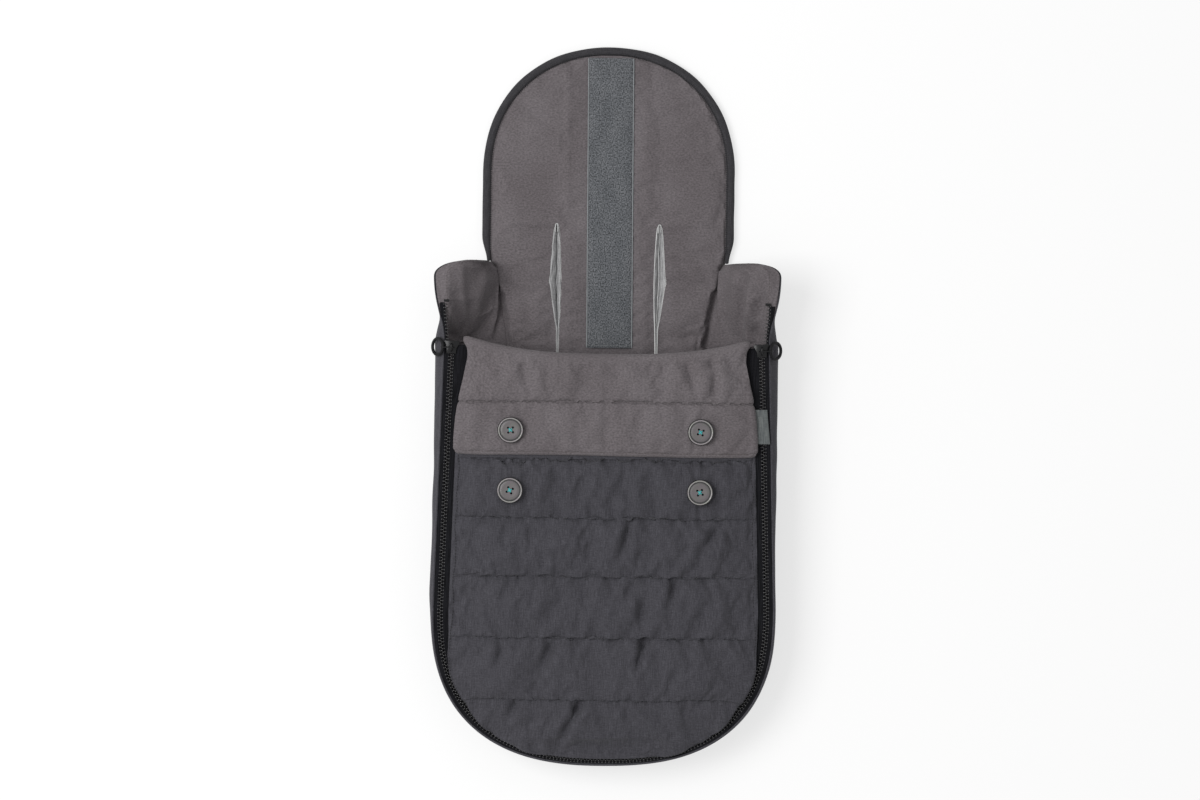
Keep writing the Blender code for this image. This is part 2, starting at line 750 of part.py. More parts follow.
def diamond_outline():
    """The wedge between the two channels, which parts the chain as the slider passes."""
    half = SLIDER_PARTING - TOOTH_REACH - TOOTH_GAP - SLIDER_CLEARANCE
    right = [(0.4 * half, 2.2 * MM), (half, 4.2 * MM), (0.8 * half, 5.8 * MM)]
    return [(0.0, 1.0 * MM)] + right + [(-q, p) for q, p in reversed(right)]


def make_slider(word, side):
    """One slider with its bail, link and ring pull, in frames on the chain's middle line."""
    frame = empty(
        "slider_frame_" + word,
        (side * chain_x(V_SLIDER), V_SLIDER, 0),
        (0, 0, side * chain_slant()),
        ZIP_PLANE,
    )
    outline = slider_outline()
    body = flat_piece("slider_" + word, [outline], -SLIDER_TOP, SLIDER_TOP, BLACK_METAL, frame)
    stations = [p * MM for p in (-9, -4, -2, 0, 2, 4, 6, 9)]
    right = [(channel_half(p), p) for p in stations]
    channel = right + [(-q, p) for q, p in reversed(right)]
    wide = 12 * MM
    slot = [(-wide, -9 * MM), (wide, -9 * MM), (wide, 9 * MM), (-wide, 9 * MM)]
    body = to_mesh(body)
    for name, edge, height in (("channel", channel, CHANNEL_HEIGHT), ("slot", slot, SLIDER_SLOT / 2)):
        cutter = flat_piece(
            name + "_" + word, [edge, diamond_outline()], -height, height, None, frame, CUTTERS
        )
        combine(body, to_mesh(cutter), "DIFFERENCE")
    axis_height = SLIDER_TOP + BAIL_RISE
    middle = -0.5 * MM
    half = BAIL_LENGTH / 2
    foot = SLIDER_TOP + GAP
    bail = [
        (0, middle - half, foot),
        (0, middle - half, axis_height - 1.2 * MM),
        (0, middle - half + 1.2 * MM, axis_height),
        (0, middle + half - 1.2 * MM, axis_height),
        (0, middle + half, axis_height - 1.2 * MM),
        (0, middle + half, foot),
    ]
    tube("bail_" + word, bail, BAIL_WIRE / 2, BLACK_METAL, frame)
    hinge = empty("ring_hinge_" + word, (0, middle, axis_height), (0, 0, 0), frame)
    make_ring_pull(word, side, hinge)


def make_ring_pull(word, side, hinge):
    """The wire link round the bail, and the ring in the link's far end."""
    across = Vector((side * math.cos(LINK_DROOP), 0, -math.sin(LINK_DROOP)))
    up = Vector((side * math.sin(LINK_DROOP), 0, math.cos(LINK_DROOP)))
    radius = LINK_EYE + LINK_WIRE / 2
    loop = []
    steps = 7
    for centre, turn in ((0.0, math.pi / 2), (LINK_LENGTH, -math.pi / 2)):
        for i in range(steps + 1):
            angle = turn + math.pi * i / steps
            loop.append(across * (centre + radius * math.cos(angle)) + up * radius * math.sin(angle))
    tube("pull_link_" + word, loop, LINK_WIRE / 2, BLACK_METAL, hinge, cyclic=True)
    major = (RING_OUTER - RING_WIRE) / 2
    seat = across * LINK_LENGTH
    hang = Vector((side * math.cos(RING_DROOP), 0, -math.sin(RING_DROOP)))
    centre = seat + hang * major
    steps = 18
    ring = []
    for i in range(steps):
        angle = 2 * math.pi * (i + 0.5) / steps
        ring.append(centre + hang * major * math.cos(angle) + Vector((0, major * math.sin(angle), 0)))
    tube("ring_pull_" + word, ring, RING_WIRE / 2, RUBBER, hinge, cyclic=True, sides=2)


# Cover


def cover_half(v):
    """Half the width of the cover's shell at a place up the zip plane."""
    if v >= V_CENTRE:
        return chain_x(v) - COVER_EDGE
    run = (V_CENTRE - v) / (CHAIN_DEPTH - COVER_FOOT_EDGE)
    left = max(0.0, 1 - run**FOOT_ROUNDNESS)
    return (CHAIN_HALF_AT_FOOT - COVER_EDGE) * left ** (1 / FOOT_ROUNDNESS)


def quilt_lines():
    """The stitched lines across the cover, from the foot end up to the cuff's hem."""
    return [to_v(FOOT_Y + FIRST_LINE_FROM_FOOT + QUILT_PITCH * i) for i in range(QUILT_LINES)]


def cover_rows():
    """Rows of the cover's layers: close together round the tip, and on every quilting line."""
    tip = V_CENTRE - (CHAIN_DEPTH - COVER_FOOT_EDGE)
    lines = quilt_lines()
    rows = [tip + rise for rise in TIP_ROWS]
    for line in lines[:-1]:
        rows += [line + QUILT_PITCH * share for share in (0.0, 0.2, 0.5, 0.8)]
    hem = lines[-1]
    rows += [hem, hem + 6 * MM, V_FOLD - CUFF_SEAM_FROM_FOLD, V_FOLD - 30 * MM, COVER_END_V]
    return rows


def pillow(share):
    """The rise of the padding across the cover, 1 in the middle and 0 at its edges."""
    return (1 - abs(share) ** 3.2) ** 0.6


def puff(v):
    """How far the padding swells between two quilting lines."""
    lines = quilt_lines()
    if v >= lines[-1]:
        return 0.0
    tip = V_CENTRE - (CHAIN_DEPTH - COVER_FOOT_EDGE)
    edges = [tip] + lines
    for low, high in zip(edges, edges[1:]):
        if low <= v <= high:
            share = abs(2 * (v - low) / (high - low) - 1)
            return QUILT_PUFF * (1 - share**2.6) ** 0.8
    return 0.0


def cover_top(share, v):
    """Height of the cover's outer face over the zip plane."""
    tip = V_CENTRE - (CHAIN_DEPTH - COVER_FOOT_EDGE)
    fade = smooth((v - tip) / TIP_FADE)
    return SHELL_EDGE_TOP + (COVER_CROWN * fade + puff(v) * min(1.0, 2 * fade)) * pillow(share)


def lining_top(share, v):
    """Height of the lining's upper face over the zip plane."""
    tip = V_CENTRE - (CHAIN_DEPTH - COVER_FOOT_EDGE)
    return LINING_EDGE_TOP + LINING_CROWN * smooth((v - tip) / TIP_FADE) * pillow(share)


def cover_grid(height, rows, columns):
    """A grid of points over the cover, at the height that the function gives."""
    return [[(s * cover_half(v), v, height(s, v)) for s in columns] for v in rows]


def make_cover():
    """The cover's quilted shell, its wadding and its lining, seated over each other."""
    rows = cover_rows()
    inner_rows, inner_columns = rows[3:], COLUMNS[1:-1]

    def shell_under(s, v):
        return cover_top(s, v) - SHELL

    def wadding_top(s, v):
        return shell_under(s, v) - LAYER_GAP

    def wadding_under(s, v):
        return lining_top(s, v) + LAYER_GAP

    def lining_under(s, v):
        return lining_top(s, v) - FLEECE

    upper, lower = cover_grid(cover_top, rows, COLUMNS), cover_grid(shell_under, rows, COLUMNS)
    layer("cover_shell", upper, lower, SHELL_CLOTH, ZIP_PLANE)
    upper = cover_grid(wadding_top, inner_rows, inner_columns)
    lower = cover_grid(wadding_under, inner_rows, inner_columns)
    layer("cover_wadding", upper, lower, WADDING_FIBRE, ZIP_PLANE)
    straight = [v for v in quilt_lines() if v > V_CENTRE]
    rows = [v for v in rows if v < V_CENTRE + QUILT_PITCH / 2] + straight + [COVER_END_V]
    rows = sorted(set(rows))
    upper, lower = cover_grid(lining_top, rows, COLUMNS), cover_grid(lining_under, rows, COLUMNS)
    layer("cover_lining", upper, lower, FLEECE_CLOTH, ZIP_PLANE)


# Cuff


def cuff_half(v):
    """Half the width of the turned-down cuff."""
    return mix(CUFF_HALF_AT_FOLD, CUFF_HALF_AT_HEM, (V_FOLD - v) / CUFF_DEPTH)


def cuff_grid(rows, lift):
    """A grid over the cover's top that the cuff lies on, raised by the lift."""
    grid = []
    for v in rows:
        half = cuff_half(v)
        line = [(s * cover_half(v), v, cover_top(s, v) + lift) for s in COLUMNS[2:-2]]
        edge = cover_top(COLUMNS[1], v) + lift
        grid.append([(-half, v, edge)] + line + [(half, v, edge)])
    return grid


def make_cuff():
    """The cuff's two cloths above its seam, its buttonhole band, the fold and the side tag."""
    seam = V_FOLD - CUFF_SEAM_FROM_FOLD
    hem = V_FOLD - CUFF_DEPTH
    rows = [COVER_END_V, V_FOLD - 30 * MM, seam + GAP]
    under = CUFF_LIFT
    over = under + SHELL
    layer("cuff_shell", cuff_grid(rows, over), cuff_grid(rows, under), SHELL_CLOTH, ZIP_PLANE)
    under = over + LAYER_GAP
    over = under + FLEECE
    layer("cuff_lining", cuff_grid(rows, over), cuff_grid(rows, under), FLEECE_CLOTH, ZIP_PLANE)
    rows = [seam - GAP, quilt_lines()[-1] + 6 * MM, hem]
    band_top = CUFF_LIFT + BAND_THICKNESS
    band = layer(
        "cuff_band", cuff_grid(rows, band_top), cuff_grid(rows, CUFF_LIFT), FLEECE_CLOTH, ZIP_PLANE
    )
    for word, side in (("left", -1), ("right", 1)):
        v = V_FOLD - UPPER_BUTTONS_FROM_FOLD
        slit = []
        steps = 12
        for i in range(steps):
            angle = 2 * math.pi * i / steps
            slit.append(
                (
                    side * BUTTON_SPACING / 2 + BUTTONHOLE_LENGTH / 2 * math.cos(angle),
                    v + BUTTONHOLE_WIDTH / 2 * math.sin(angle),
                )
            )
        cutter = flat_piece(
            "buttonhole_" + word, [slit], 0, 30 * MM, None, ZIP_PLANE, CUTTERS
        )
        combine(band, to_mesh(cutter), "DIFFERENCE")
    make_fold(over)
    make_tag(over)


def make_fold(over):
    """The rolled fold: cloth that leaves the cover's lining and comes back over as the cuff."""
    outer, inner = [], []
    steps = 6
    v = COVER_END_V + GAP
    flat = cuff_grid([COVER_END_V], 0.0)[0]
    for i in range(steps + 1):
        angle = math.pi * (i / steps - 0.5)
        outside, inside = [], []
        for x, _, top in flat:
            share = max(-1.0, min(1.0, x / cover_half(COVER_END_V)))
            low = lining_top(share, COVER_END_V) - FLEECE
            middle, radius = (top + over + low) / 2, (top + over - low) / 2
            for line, r in ((outside, radius), (inside, radius - ROLL_WALL)):
                line.append((x, v + r * math.cos(angle), middle + r * math.sin(angle)))
        outer.append(outside)
        inner.append(inside)
    layer("cuff_fold", outer, inner, FLEECE_CLOTH, ZIP_PLANE)


def make_tag(over):
    """A bare ribbon loop sewn into the right edge of the cuff, lying out over the zip."""
    v = V_FOLD - TAG_FROM_FOLD - TAG_WIDTH / 2
    slant = math.atan2(CUFF_HALF_AT_HEM - CUFF_HALF_AT_FOLD, CUFF_DEPTH)
    start = cuff_half(v) + GAP / math.cos(slant)
    base = cover_top(COLUMNS[1], v) + over - TAG_LOOP
    reach = TAG_REACH - TAG_LOOP / 2
    loop, steps = [(0.0, 0.0), (reach, 0.0)], 5
    for i in range(1, steps):
        angle = math.pi * (i / steps - 0.5)
        loop.append((reach + TAG_LOOP / 2 * math.cos(angle), TAG_LOOP / 2 * (1 + math.sin(angle))))
    loop += [(reach, TAG_LOOP), (0.0, TAG_LOOP)]
    inside = TAG_LOOP - TAG_CLOTH
    loop += [(0.0, inside), (reach, inside), (reach + 0.3 * MM, TAG_LOOP / 2), (reach, TAG_CLOTH)]
    loop += [(0.5 * MM, TAG_CLOTH)]
    tag = flat_piece("side_tag", [loop], -TAG_WIDTH / 2, TAG_WIDTH / 2, TAG_SATIN, ZIP_PLANE)
    tag.rotation_euler = (math.pi / 2, 0, slant)
    tag.location = (start, v, base)


# Buttons


def button_mesh():
    """A four-hole button: a turned profile with a raised rim and a dished middle."""
    half = BUTTON_DIAMETER / 2
    top = BUTTON_THICKNESS
    profile = [
        (0.0, 0.68 * top),
        (0.6 * half, 0.68 * top),
        (0.82 * half, top),
        (0.93 * half, 0.95 * top),
        (half, 0.5 * top),
        (0.84 * half, 0.0),
        (0.0, 0.0),
    ]
    mesh = bpy.data.meshes.new("button_profile")
    edges = [(i, i + 1) for i in range(len(profile) - 1)]
    mesh.from_pydata([(r, 0, z) for r, z in profile], edges, [])
    body = place(bpy.data.objects.new("button_blank", mesh), None, CUTTERS)
    screw = body.modifiers.new("turn", "SCREW")
    screw.steps = screw.render_steps = 18
    screw.use_merge_vertices = True
    screw.merge_threshold = 0.00001
    screw.use_normal_calculate = True
    body = to_mesh(body)
    reach = BUTTON_HOLE_SPACING / 2
    for i, (x, y) in enumerate(((-1, -1), (1, -1), (1, 1), (-1, 1))):
        hole = primitive(
            f"button_hole_{i}",
            bmesh.ops.create_cone,
            cap_ends=True,
            segments=6,
            radius1=BUTTON_HOLE / 2,
            radius2=BUTTON_HOLE / 2,
            depth=3 * BUTTON_THICKNESS,
        )
        hole.location = (x * reach, y * reach, 0)
        combine(body, hole, "DIFFERENCE")
    body = to_mesh(body)
    made = body.data
    bpy.data.objects.remove(body, do_unlink=True)
    return made


def thread_mesh(length):
    """Sewing thread: a wound shank under the button, four strands up and two bars on top."""
    reach = BUTTON_HOLE_SPACING / 2
    plate = 0.7 * MM
    radius = reach * math.sqrt(2) + THREAD / 2
    pad = primitive(
        "thread_pad",
        bmesh.ops.create_cone,
        cap_ends=True,
        segments=8,
        radius1=radius,
        radius2=radius,
        depth=plate,
    )
    pad.location = (0, 0, -GAP - plate / 2)
    shank = primitive(
        "thread_shank",
        bmesh.ops.create_cone,
        cap_ends=True,
        segments=6,
        radius1=SHANK / 2,
        radius2=SHANK / 2,
        depth=length,
    )
    shank.location = (0, 0, -GAP - plate / 2 - length / 2)
    combine(pad, shank, "UNION")
    above = 0.68 * BUTTON_THICKNESS + GAP
    for i, (x, y) in enumerate(((-1, -1), (1, -1), (1, 1), (-1, 1))):
        strand = primitive(
            f"thread_strand_{i}",
            bmesh.ops.create_cone,
            cap_ends=True,
            segments=5,
            radius1=THREAD / 2,
            radius2=THREAD / 2,
            depth=above + plate + GAP,
        )
        strand.location = (x * reach, y * reach, (above - plate - GAP) / 2 + 0.1 * MM)
        combine(pad, strand, "UNION")
    for i, x in enumerate((-1, 1)):
        bar = box(f"thread_bar_{i}", (THREAD, 2 * reach + THREAD, THREAD))
        bar.location = (x * reach, 0, above + THREAD / 2)
        combine(pad, bar, "UNION")
    pad = to_mesh(pad)
    made = pad.data
    made.transform(Matrix.Translation((0, 0, -GAP - plate / 2)))
    bpy.data.objects.remove(pad, do_unlink=True)
    return made


def highest_under(x, v, radius):
    """The cover's highest point under a disc at a place on it."""
    best = 0.0
    for i in range(-4, 5):
        for j in range(-4, 5):
            at = v + radius * j / 4
            share = (x + radius * i / 4) / cover_half(at)
            best = max(best, cover_top(share, at))
    return best


def make_buttons():
    """Two buttons through the cuff's buttonholes, and two more on the cover below them."""
    blank = button_mesh()
    x = BUTTON_SPACING / 2
    pairs = (
        ("upper", V_FOLD - UPPER_BUTTONS_FROM_FOLD, CUFF_LIFT + BAND_THICKNESS),
        ("lower", V_FOLD - LOWER_BUTTONS_FROM_FOLD, 0.0),
    )
    for row, v, over in pairs:
        seat = highest_under(x, v, BUTTON_DIAMETER / 2) + over + 1.6 * MM
        surface = cover_top(x / cover_half(v), v)
        thread = thread_mesh(seat - surface - 2 * GAP - 0.35 * MM)
        for word, side in (("left", -1), ("right", 1)):
            for name, mesh, finish in (
                (row + "_button_" + word, blank, BUTTON_RESIN),
                (row + "_button_thread_" + word, thread, THREAD_BLUE),
            ):
                made = bpy.data.objects.new(name, mesh.copy())
                made.data.materials.clear()
                place(made, finish)
                made.data.shade_smooth()
                made.data.set_sharp_from_angle(angle=math.radians(35))
                made.parent = ZIP_PLANE
                made.location = (side * x, v, seat)


def main():
    """Builds every piece of the footmuff."""
    make_back_panel()
    make_walls()
    make_zip()
    make_cover()
    make_cuff()
    make_buttons()
    for word, side in (("left", -1), ("right", 1)):
        make_slider(word, side)


main()
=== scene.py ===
"""The looks of a pushchair footmuff, lying on its back with its head end towards +Y.

Every soft piece is a grid of cloth points in metres, shaped from the bag's own plan, let billow and
crease in a cloth simulation, and given its thickness. Places on the zip are drawn in the zip plane:
x across, v up the plane from the foot end, and w square to it.
"""

from __future__ import annotations

import logging
import math
from dataclasses import dataclass
from enum import Enum

import bmesh
import bpy
import numpy as np
from mathutils import Matrix, Vector

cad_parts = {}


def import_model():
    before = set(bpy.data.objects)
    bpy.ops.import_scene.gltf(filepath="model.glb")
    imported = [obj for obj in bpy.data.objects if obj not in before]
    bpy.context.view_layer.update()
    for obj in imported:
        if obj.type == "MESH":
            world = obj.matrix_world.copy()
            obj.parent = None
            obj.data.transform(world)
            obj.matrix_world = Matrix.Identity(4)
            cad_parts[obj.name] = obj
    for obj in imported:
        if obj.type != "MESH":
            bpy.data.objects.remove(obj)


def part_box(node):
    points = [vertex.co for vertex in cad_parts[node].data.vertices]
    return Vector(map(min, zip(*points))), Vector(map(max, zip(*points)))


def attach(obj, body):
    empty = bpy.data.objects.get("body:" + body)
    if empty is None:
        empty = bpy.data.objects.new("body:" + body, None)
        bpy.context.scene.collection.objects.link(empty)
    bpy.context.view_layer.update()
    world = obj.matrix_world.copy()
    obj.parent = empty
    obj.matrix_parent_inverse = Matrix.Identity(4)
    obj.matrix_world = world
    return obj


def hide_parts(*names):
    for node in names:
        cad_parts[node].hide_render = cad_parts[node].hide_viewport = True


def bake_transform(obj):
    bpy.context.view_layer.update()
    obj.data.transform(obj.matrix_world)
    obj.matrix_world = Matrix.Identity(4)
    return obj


LOG = logging.getLogger("footmuff")
MM = 0.001
SIDES = (("left", -1), ("right", 1))
UP = np.array([0.0, 0.0, 1.0])


def smooth(share):
    """A smooth step from 0 to 1, for a number or an array."""
    share = np.clip(share, 0.0, 1.0)
    return share * share * (3 - 2 * share)


def mix(a, b, share):
    """The value that lies the given share of the way from a to b."""
    return a + (b - a) * share


def bell(distance, width):
    """A round bump: 1 at no distance, near 0 at twice the width."""
    return np.exp(-((distance / width) ** 2))


def ripple(a: np.ndarray, b: np.ndarray, seed: int, waves: int = 6) -> np.ndarray:
    """Soft uneven waves over two coordinates in radians, between about -1 and 1."""
    source = np.random.default_rng(seed)
    total = np.zeros(np.broadcast(a, b).shape)
    for _ in range(waves):
        turn = source.uniform(0, 2 * math.pi)
        pace = source.uniform(0.6, 1.6)
        phase = source.uniform(0, 2 * math.pi)
        total += np.sin(pace * (math.cos(turn) * a + math.sin(turn) * b) + phase)
    return total / math.sqrt(2 * waves)


def unit(vectors: np.ndarray) -> np.ndarray:
    """The vectors with a length of 1."""
    return vectors / np.linalg.norm(vectors, axis=-1, keepdims=True)


def raised(plan: np.ndarray, height) -> np.ndarray:
    """Points seen from above, put at one height or at one height each."""
    return np.column_stack([plan, np.broadcast_to(height, len(plan))])


def reach_along(line: np.ndarray) -> np.ndarray:
    """How far along a line each of its points lies."""
    return np.concatenate([[0], np.cumsum(np.linalg.norm(np.diff(line, axis=0), axis=1))])


def at_reach(wanted: np.ndarray, reach: np.ndarray, vectors: np.ndarray) -> np.ndarray:
    """The vectors that a line's points have, at the wanted distances along it."""
    return np.stack([np.interp(wanted, reach, values) for values in vectors.T], -1)


def doubled(values: np.ndarray, axis: int) -> np.ndarray:
    """Values with a smooth one put between each two neighbours along an axis."""
    rows = np.moveaxis(np.asarray(values, float), axis, 0)
    wide = np.concatenate([2 * rows[:1] - rows[1:2], rows, 2 * rows[-1:] - rows[-2:-1]])
    between = (9 * (wide[1:-2] + wide[2:-1]) - wide[:-3] - wide[3:]) / 16
    made = np.empty((2 * len(rows) - 1, *rows.shape[1:]))
    made[::2], made[1::2] = rows, between
    return np.moveaxis(made, 0, axis)


def banded(low: float, high: float, step: float, lines, reach: float) -> np.ndarray:
    """Evenly spaced places from low to high, with finer ones round each of the lines."""
    places = np.linspace(low, high, round((high - low) / step) + 1)
    for line in lines:
        places = places[(np.abs(places - line) > 1.6 * reach) | (places == low) | (places == high)]
        near = line + reach * np.array([-1.0, -0.6, -0.3, 0.0, 0.3, 0.6, 1.0])
        places = np.concatenate([places, near[(near > low) & (near < high)]])
    return np.unique(places)


def pressed(x: np.ndarray, y: np.ndarray, creases: tuple) -> np.ndarray:
    """How far creases move a cloth at points seen from above: a valley with a ridge beside it.

    Args:
        creases: each as start x and y, end x and y, depth and width, in millimetres.
    Returns:
        The height that they add, in metres.
    """
    total = np.zeros(np.broadcast(x, y).shape)
    for x0, y0, x1, y1, depth, width in creases:
        dx, dy = (x1 - x0) * MM, (y1 - y0) * MM
        length = math.hypot(dx, dy)
        along = ((x - x0 * MM) * dx + (y - y0 * MM) * dy) / length**2
        beside = ((x - x0 * MM) * dy - (y - y0 * MM) * dx) / length
        taper = smooth((along + 0.15) / 0.3) * smooth((1.2 - along) / 0.8)
        valley = bell(beside, width * MM)
        ridge = bell(np.abs(beside) - 2.1 * width * MM, 1.5 * width * MM)
        total += depth * MM * taper * (0.4 * ridge - valley)
    return total


# The bag's plan


@dataclass(frozen=True)
class BagPlan:
    """Driving sizes of the bag and the curves that follow from them, as its pattern has them."""

    length: float = 772 * MM
    foot_half: float = 184.6 * MM
    wing_half: float = 185 * MM
    foot_depth: float = 167 * MM
    roundness: float = 2.5
    wall_length: float = 539 * MM
    head_half: float = 136 * MM
    head_depth: float = 137 * MM
    head_roundness: float = 2.15
    seam_wing: float = 126 * MM
    seam_seat: float = 108 * MM
    seam_foot: float = 132 * MM
    seat_from_foot: float = 450 * MM
    foot_seam_inset: float = 42 * MM
    wing_corner: float = 16 * MM
    cover_length: float = 452 * MM
    height_fold: float = 70 * MM
    height_foot: float = 50 * MM
    chain_fold: float = 165 * MM
    chain_foot: float = 174 * MM
    chain_foot_inset: float = 6.5 * MM
    rim_offset: float = 9.3 * MM
    foot_rim_offset: float = 6.0 * MM
    slider_below_fold: float = 6 * MM
    slider_parting: float = 3.4 * MM
    tape_beyond_fold: float = 41 * MM
    cover_edge: float = 8.8 * MM
    cover_foot_edge: float = 4.4 * MM
    cover_end: float = 6 * MM
    panel_top: float = 10.0 * MM
    gap: float = 0.3 * MM

    @property
    def foot_y(self) -> float:
        """The foot end."""
        return -self.length / 2

    @property
    def foot_centre_y(self) -> float:
        """Where the foot end's round outline starts."""
        return self.foot_y + self.foot_depth

    @property
    def wing_y(self) -> float:
        """The wings' top edge."""
        return self.foot_y + self.wall_length

    @property
    def arch_y(self) -> float:
        """Where the head panel's round outline starts."""
        return self.length / 2 - self.head_depth

    @property
    def seat_y(self) -> float:
        """The panel's narrowest place."""
        return self.foot_y + self.seat_from_foot

    @property
    def tilt(self) -> float:
        """How steeply the zip plane falls towards the foot."""
        return math.atan2(self.height_fold - self.height_foot, self.cover_length)

    @property
    def v_fold(self) -> float:
        """The cuff's fold line, up the zip plane."""
        return self.cover_length / math.cos(self.tilt)

    @property
    def v_centre(self) -> float:
        """The start of the foot end's curve, up the zip plane."""
        return self.foot_depth / math.cos(self.tilt)

    @property
    def chain_depth(self) -> float:
        """How far the chain's curve reaches round the foot."""
        return self.v_centre - self.chain_foot_inset

    @property
    def v_tip(self) -> float:
        """The cover's lowest point."""
        return self.v_centre - (self.chain_depth - self.cover_foot_edge)

    def to_v(self, y):
        """The place up the zip plane of a place along the bag."""
        return (y - self.foot_y) / math.cos(self.tilt)

    def plane_height(self, y):
        """The zip plane's height above the ground."""
        return self.height_foot + (y - self.foot_y) * math.tan(self.tilt)

    def world(self, x, v, w) -> np.ndarray:
        """Points given in the zip plane's coordinates, in the row's frame."""
        x, v, w = np.broadcast_arrays(x, v, w)
        cos, sin = math.cos(self.tilt), math.sin(self.tilt)
        return np.stack([x, self.foot_y + v * cos - w * sin, self.height_foot + v * sin + w * cos], -1)

    def normal(self) -> np.ndarray:
        """The zip plane's upward normal."""
        return np.array([0.0, -math.sin(self.tilt), math.cos(self.tilt)])

    def superellipse(self, half, depth, roundness, angle) -> tuple[np.ndarray, np.ndarray]:
        """Points on a round outline at the given angles, with its centre at the origin."""
        cos, sin = np.cos(angle), np.sin(angle)
        x = half * np.sign(cos) * np.abs(cos) ** (2 / roundness)
        return x, depth * np.sign(sin) * np.abs(sin) ** (2 / roundness)

    def chain_x(self, v):
        """Half the distance between the straight runs of the chain."""
        run = (v - self.v_centre) / (self.v_fold - self.v_centre)
        return mix(self.chain_foot, self.chain_fold, run)

    def silhouette_x(self, y):
        """Half the bag's greatest width."""
        run = (y - self.foot_centre_y) / (self.wing_y - self.foot_centre_y)
        return mix(self.foot_half, self.wing_half, run)

    def seam_x(self, y):
        """Half the width of the back panel between its seams to the walls."""
        rise = np.clip((y - self.seat_y) / (self.wing_y - self.seat_y), 0, 1) ** 1.4
        fall = (y - self.foot_centre_y) / (self.seat_y - self.foot_centre_y)
        above = mix(self.seam_seat, self.seam_wing, rise)
        return np.where(y >= self.seat_y, above, mix(self.seam_foot, self.seam_seat, smooth(fall)))

    def rim_flare(self, v):
        """How far the walls' rim opens outwards above the fold line."""
        v_wing = self.to_v(self.wing_y)
        full = self.wing_half - self.chain_x(v_wing) - self.rim_offset
        return full * smooth((v - self.v_fold) / (v_wing - self.v_fold))

    def chain_spread(self, v):
        """How far each half of the chain stands off its middle line."""
        start = self.v_fold - self.slider_below_fold - 4 * MM
        parted = self.slider_parting * smooth((v - start) / (9 * MM))
        return parted + 4 * MM * smooth((v - self.v_fold) / self.tape_beyond_fold)

    def cover_half(self, v):
        """Half the width of the cover."""
        run = np.clip((self.v_centre - v) / (self.chain_depth - self.cover_foot_edge), 0, 1)
        tip = (self.chain_foot - self.cover_edge) * (1 - run**self.roundness) ** (1 / self.roundness)
        return np.where(v >= self.v_centre, self.chain_x(v) - self.cover_edge, tip)

    def head_half_at(self, y, inset: float):
        """Half the head panel's width at a place along it, drawn in by the inset."""
        half, depth = self.head_half - inset, self.head_depth - inset
        rise = np.clip((y - self.arch_y) / depth, 0, 1)
        return half * (1 - rise**self.head_roundness) ** (1 / self.head_roundness)

    def chain_path(self, above: float, pitch: float) -> tuple[np.ndarray, np.ndarray]:
        """Evenly spaced places down the right run, round the foot and up the left.

        Args:
            above: how far the run goes on beyond the fold line.
            pitch: the distance from one place to the next.
        Returns:
            The places as (x, v), and the outward normal at each.
        """
        top = self.v_fold + above
        v = np.linspace(top, self.v_centre, 200, endpoint=False)
        right = np.stack([self.chain_x(v), v], -1)
        angle = -np.linspace(0, math.pi / 2, 400)
        x, y = self.superellipse(self.chain_foot, self.chain_depth, self.roundness, angle)
        right = np.concatenate([right, np.stack([x, self.v_centre + y], -1)])
        dense = np.concatenate([right, right[-2::-1] * (-1, 1)])
        reach = reach_along(dense)
        spots = at_reach(np.linspace(0, reach[-1], round(reach[-1] / pitch) + 1), reach, dense)
        along = unit(np.gradient(spots, axis=0))
        return spots, np.stack([-along[:, 1], along[:, 0]], -1)

    def foot_share(self, v):
        """0 on the straight runs, rising to 1 at the foot end's middle."""
        return np.clip((self.v_centre - v) / self.chain_depth, 0, 1) ** self.roundness


PLAN = BagPlan()


# Finishes


def srgb(code: str) -> tuple[float, float, float, float]:
    """A hex colour as linear red, green, blue and an alpha of 1."""
    channels = [int(code[i : i + 2], 16) / 255 for i in (0, 2, 4)]
    linear = [c / 12.92 if c <= 0.04045 else ((c + 0.055) / 1.055) ** 2.4 for c in channels]
    return (*linear, 1.0)


def add_node(tree, kind: str, settings: dict | None = None, inputs: dict | None = None):
    """Adds a node to a tree.

    Args:
        settings: the node's own properties.
        inputs: socket name or index to a value, or to the output that feeds it.
    Returns:
        The node.
    """
    node = tree.nodes.new(kind)
    for name, value in (settings or {}).items():
        setattr(node, name, value)
    for name, value in (inputs or {}).items():
        socket = node.inputs[name]
        if isinstance(value, bpy.types.NodeSocket):
            tree.links.new(value, socket)
        else:
            socket.default_value = value
    return node


@dataclass(frozen=True)
class Layer:
    """Noise at one scale of a surface's pattern.

    Attributes:
        size: the width and length of its features, across and along the cloth, in millimetres.
        detail: how many finer steps it has.
        dark, light: the colours that it runs between, or none where it only bumps the surface.
        span: the part of the noise over which it runs from dark to light.
        share: how far its colour multiplies the one below it.
        depth: its relief in millimetres.
    """

    size: tuple[float, float]
    detail: float = 3.0
    dark: str = ""
    light: str = "ffffff"
    span: tuple[float, float] = (0.35, 0.65)
    share: float = 0.5
    depth: float = 0.0


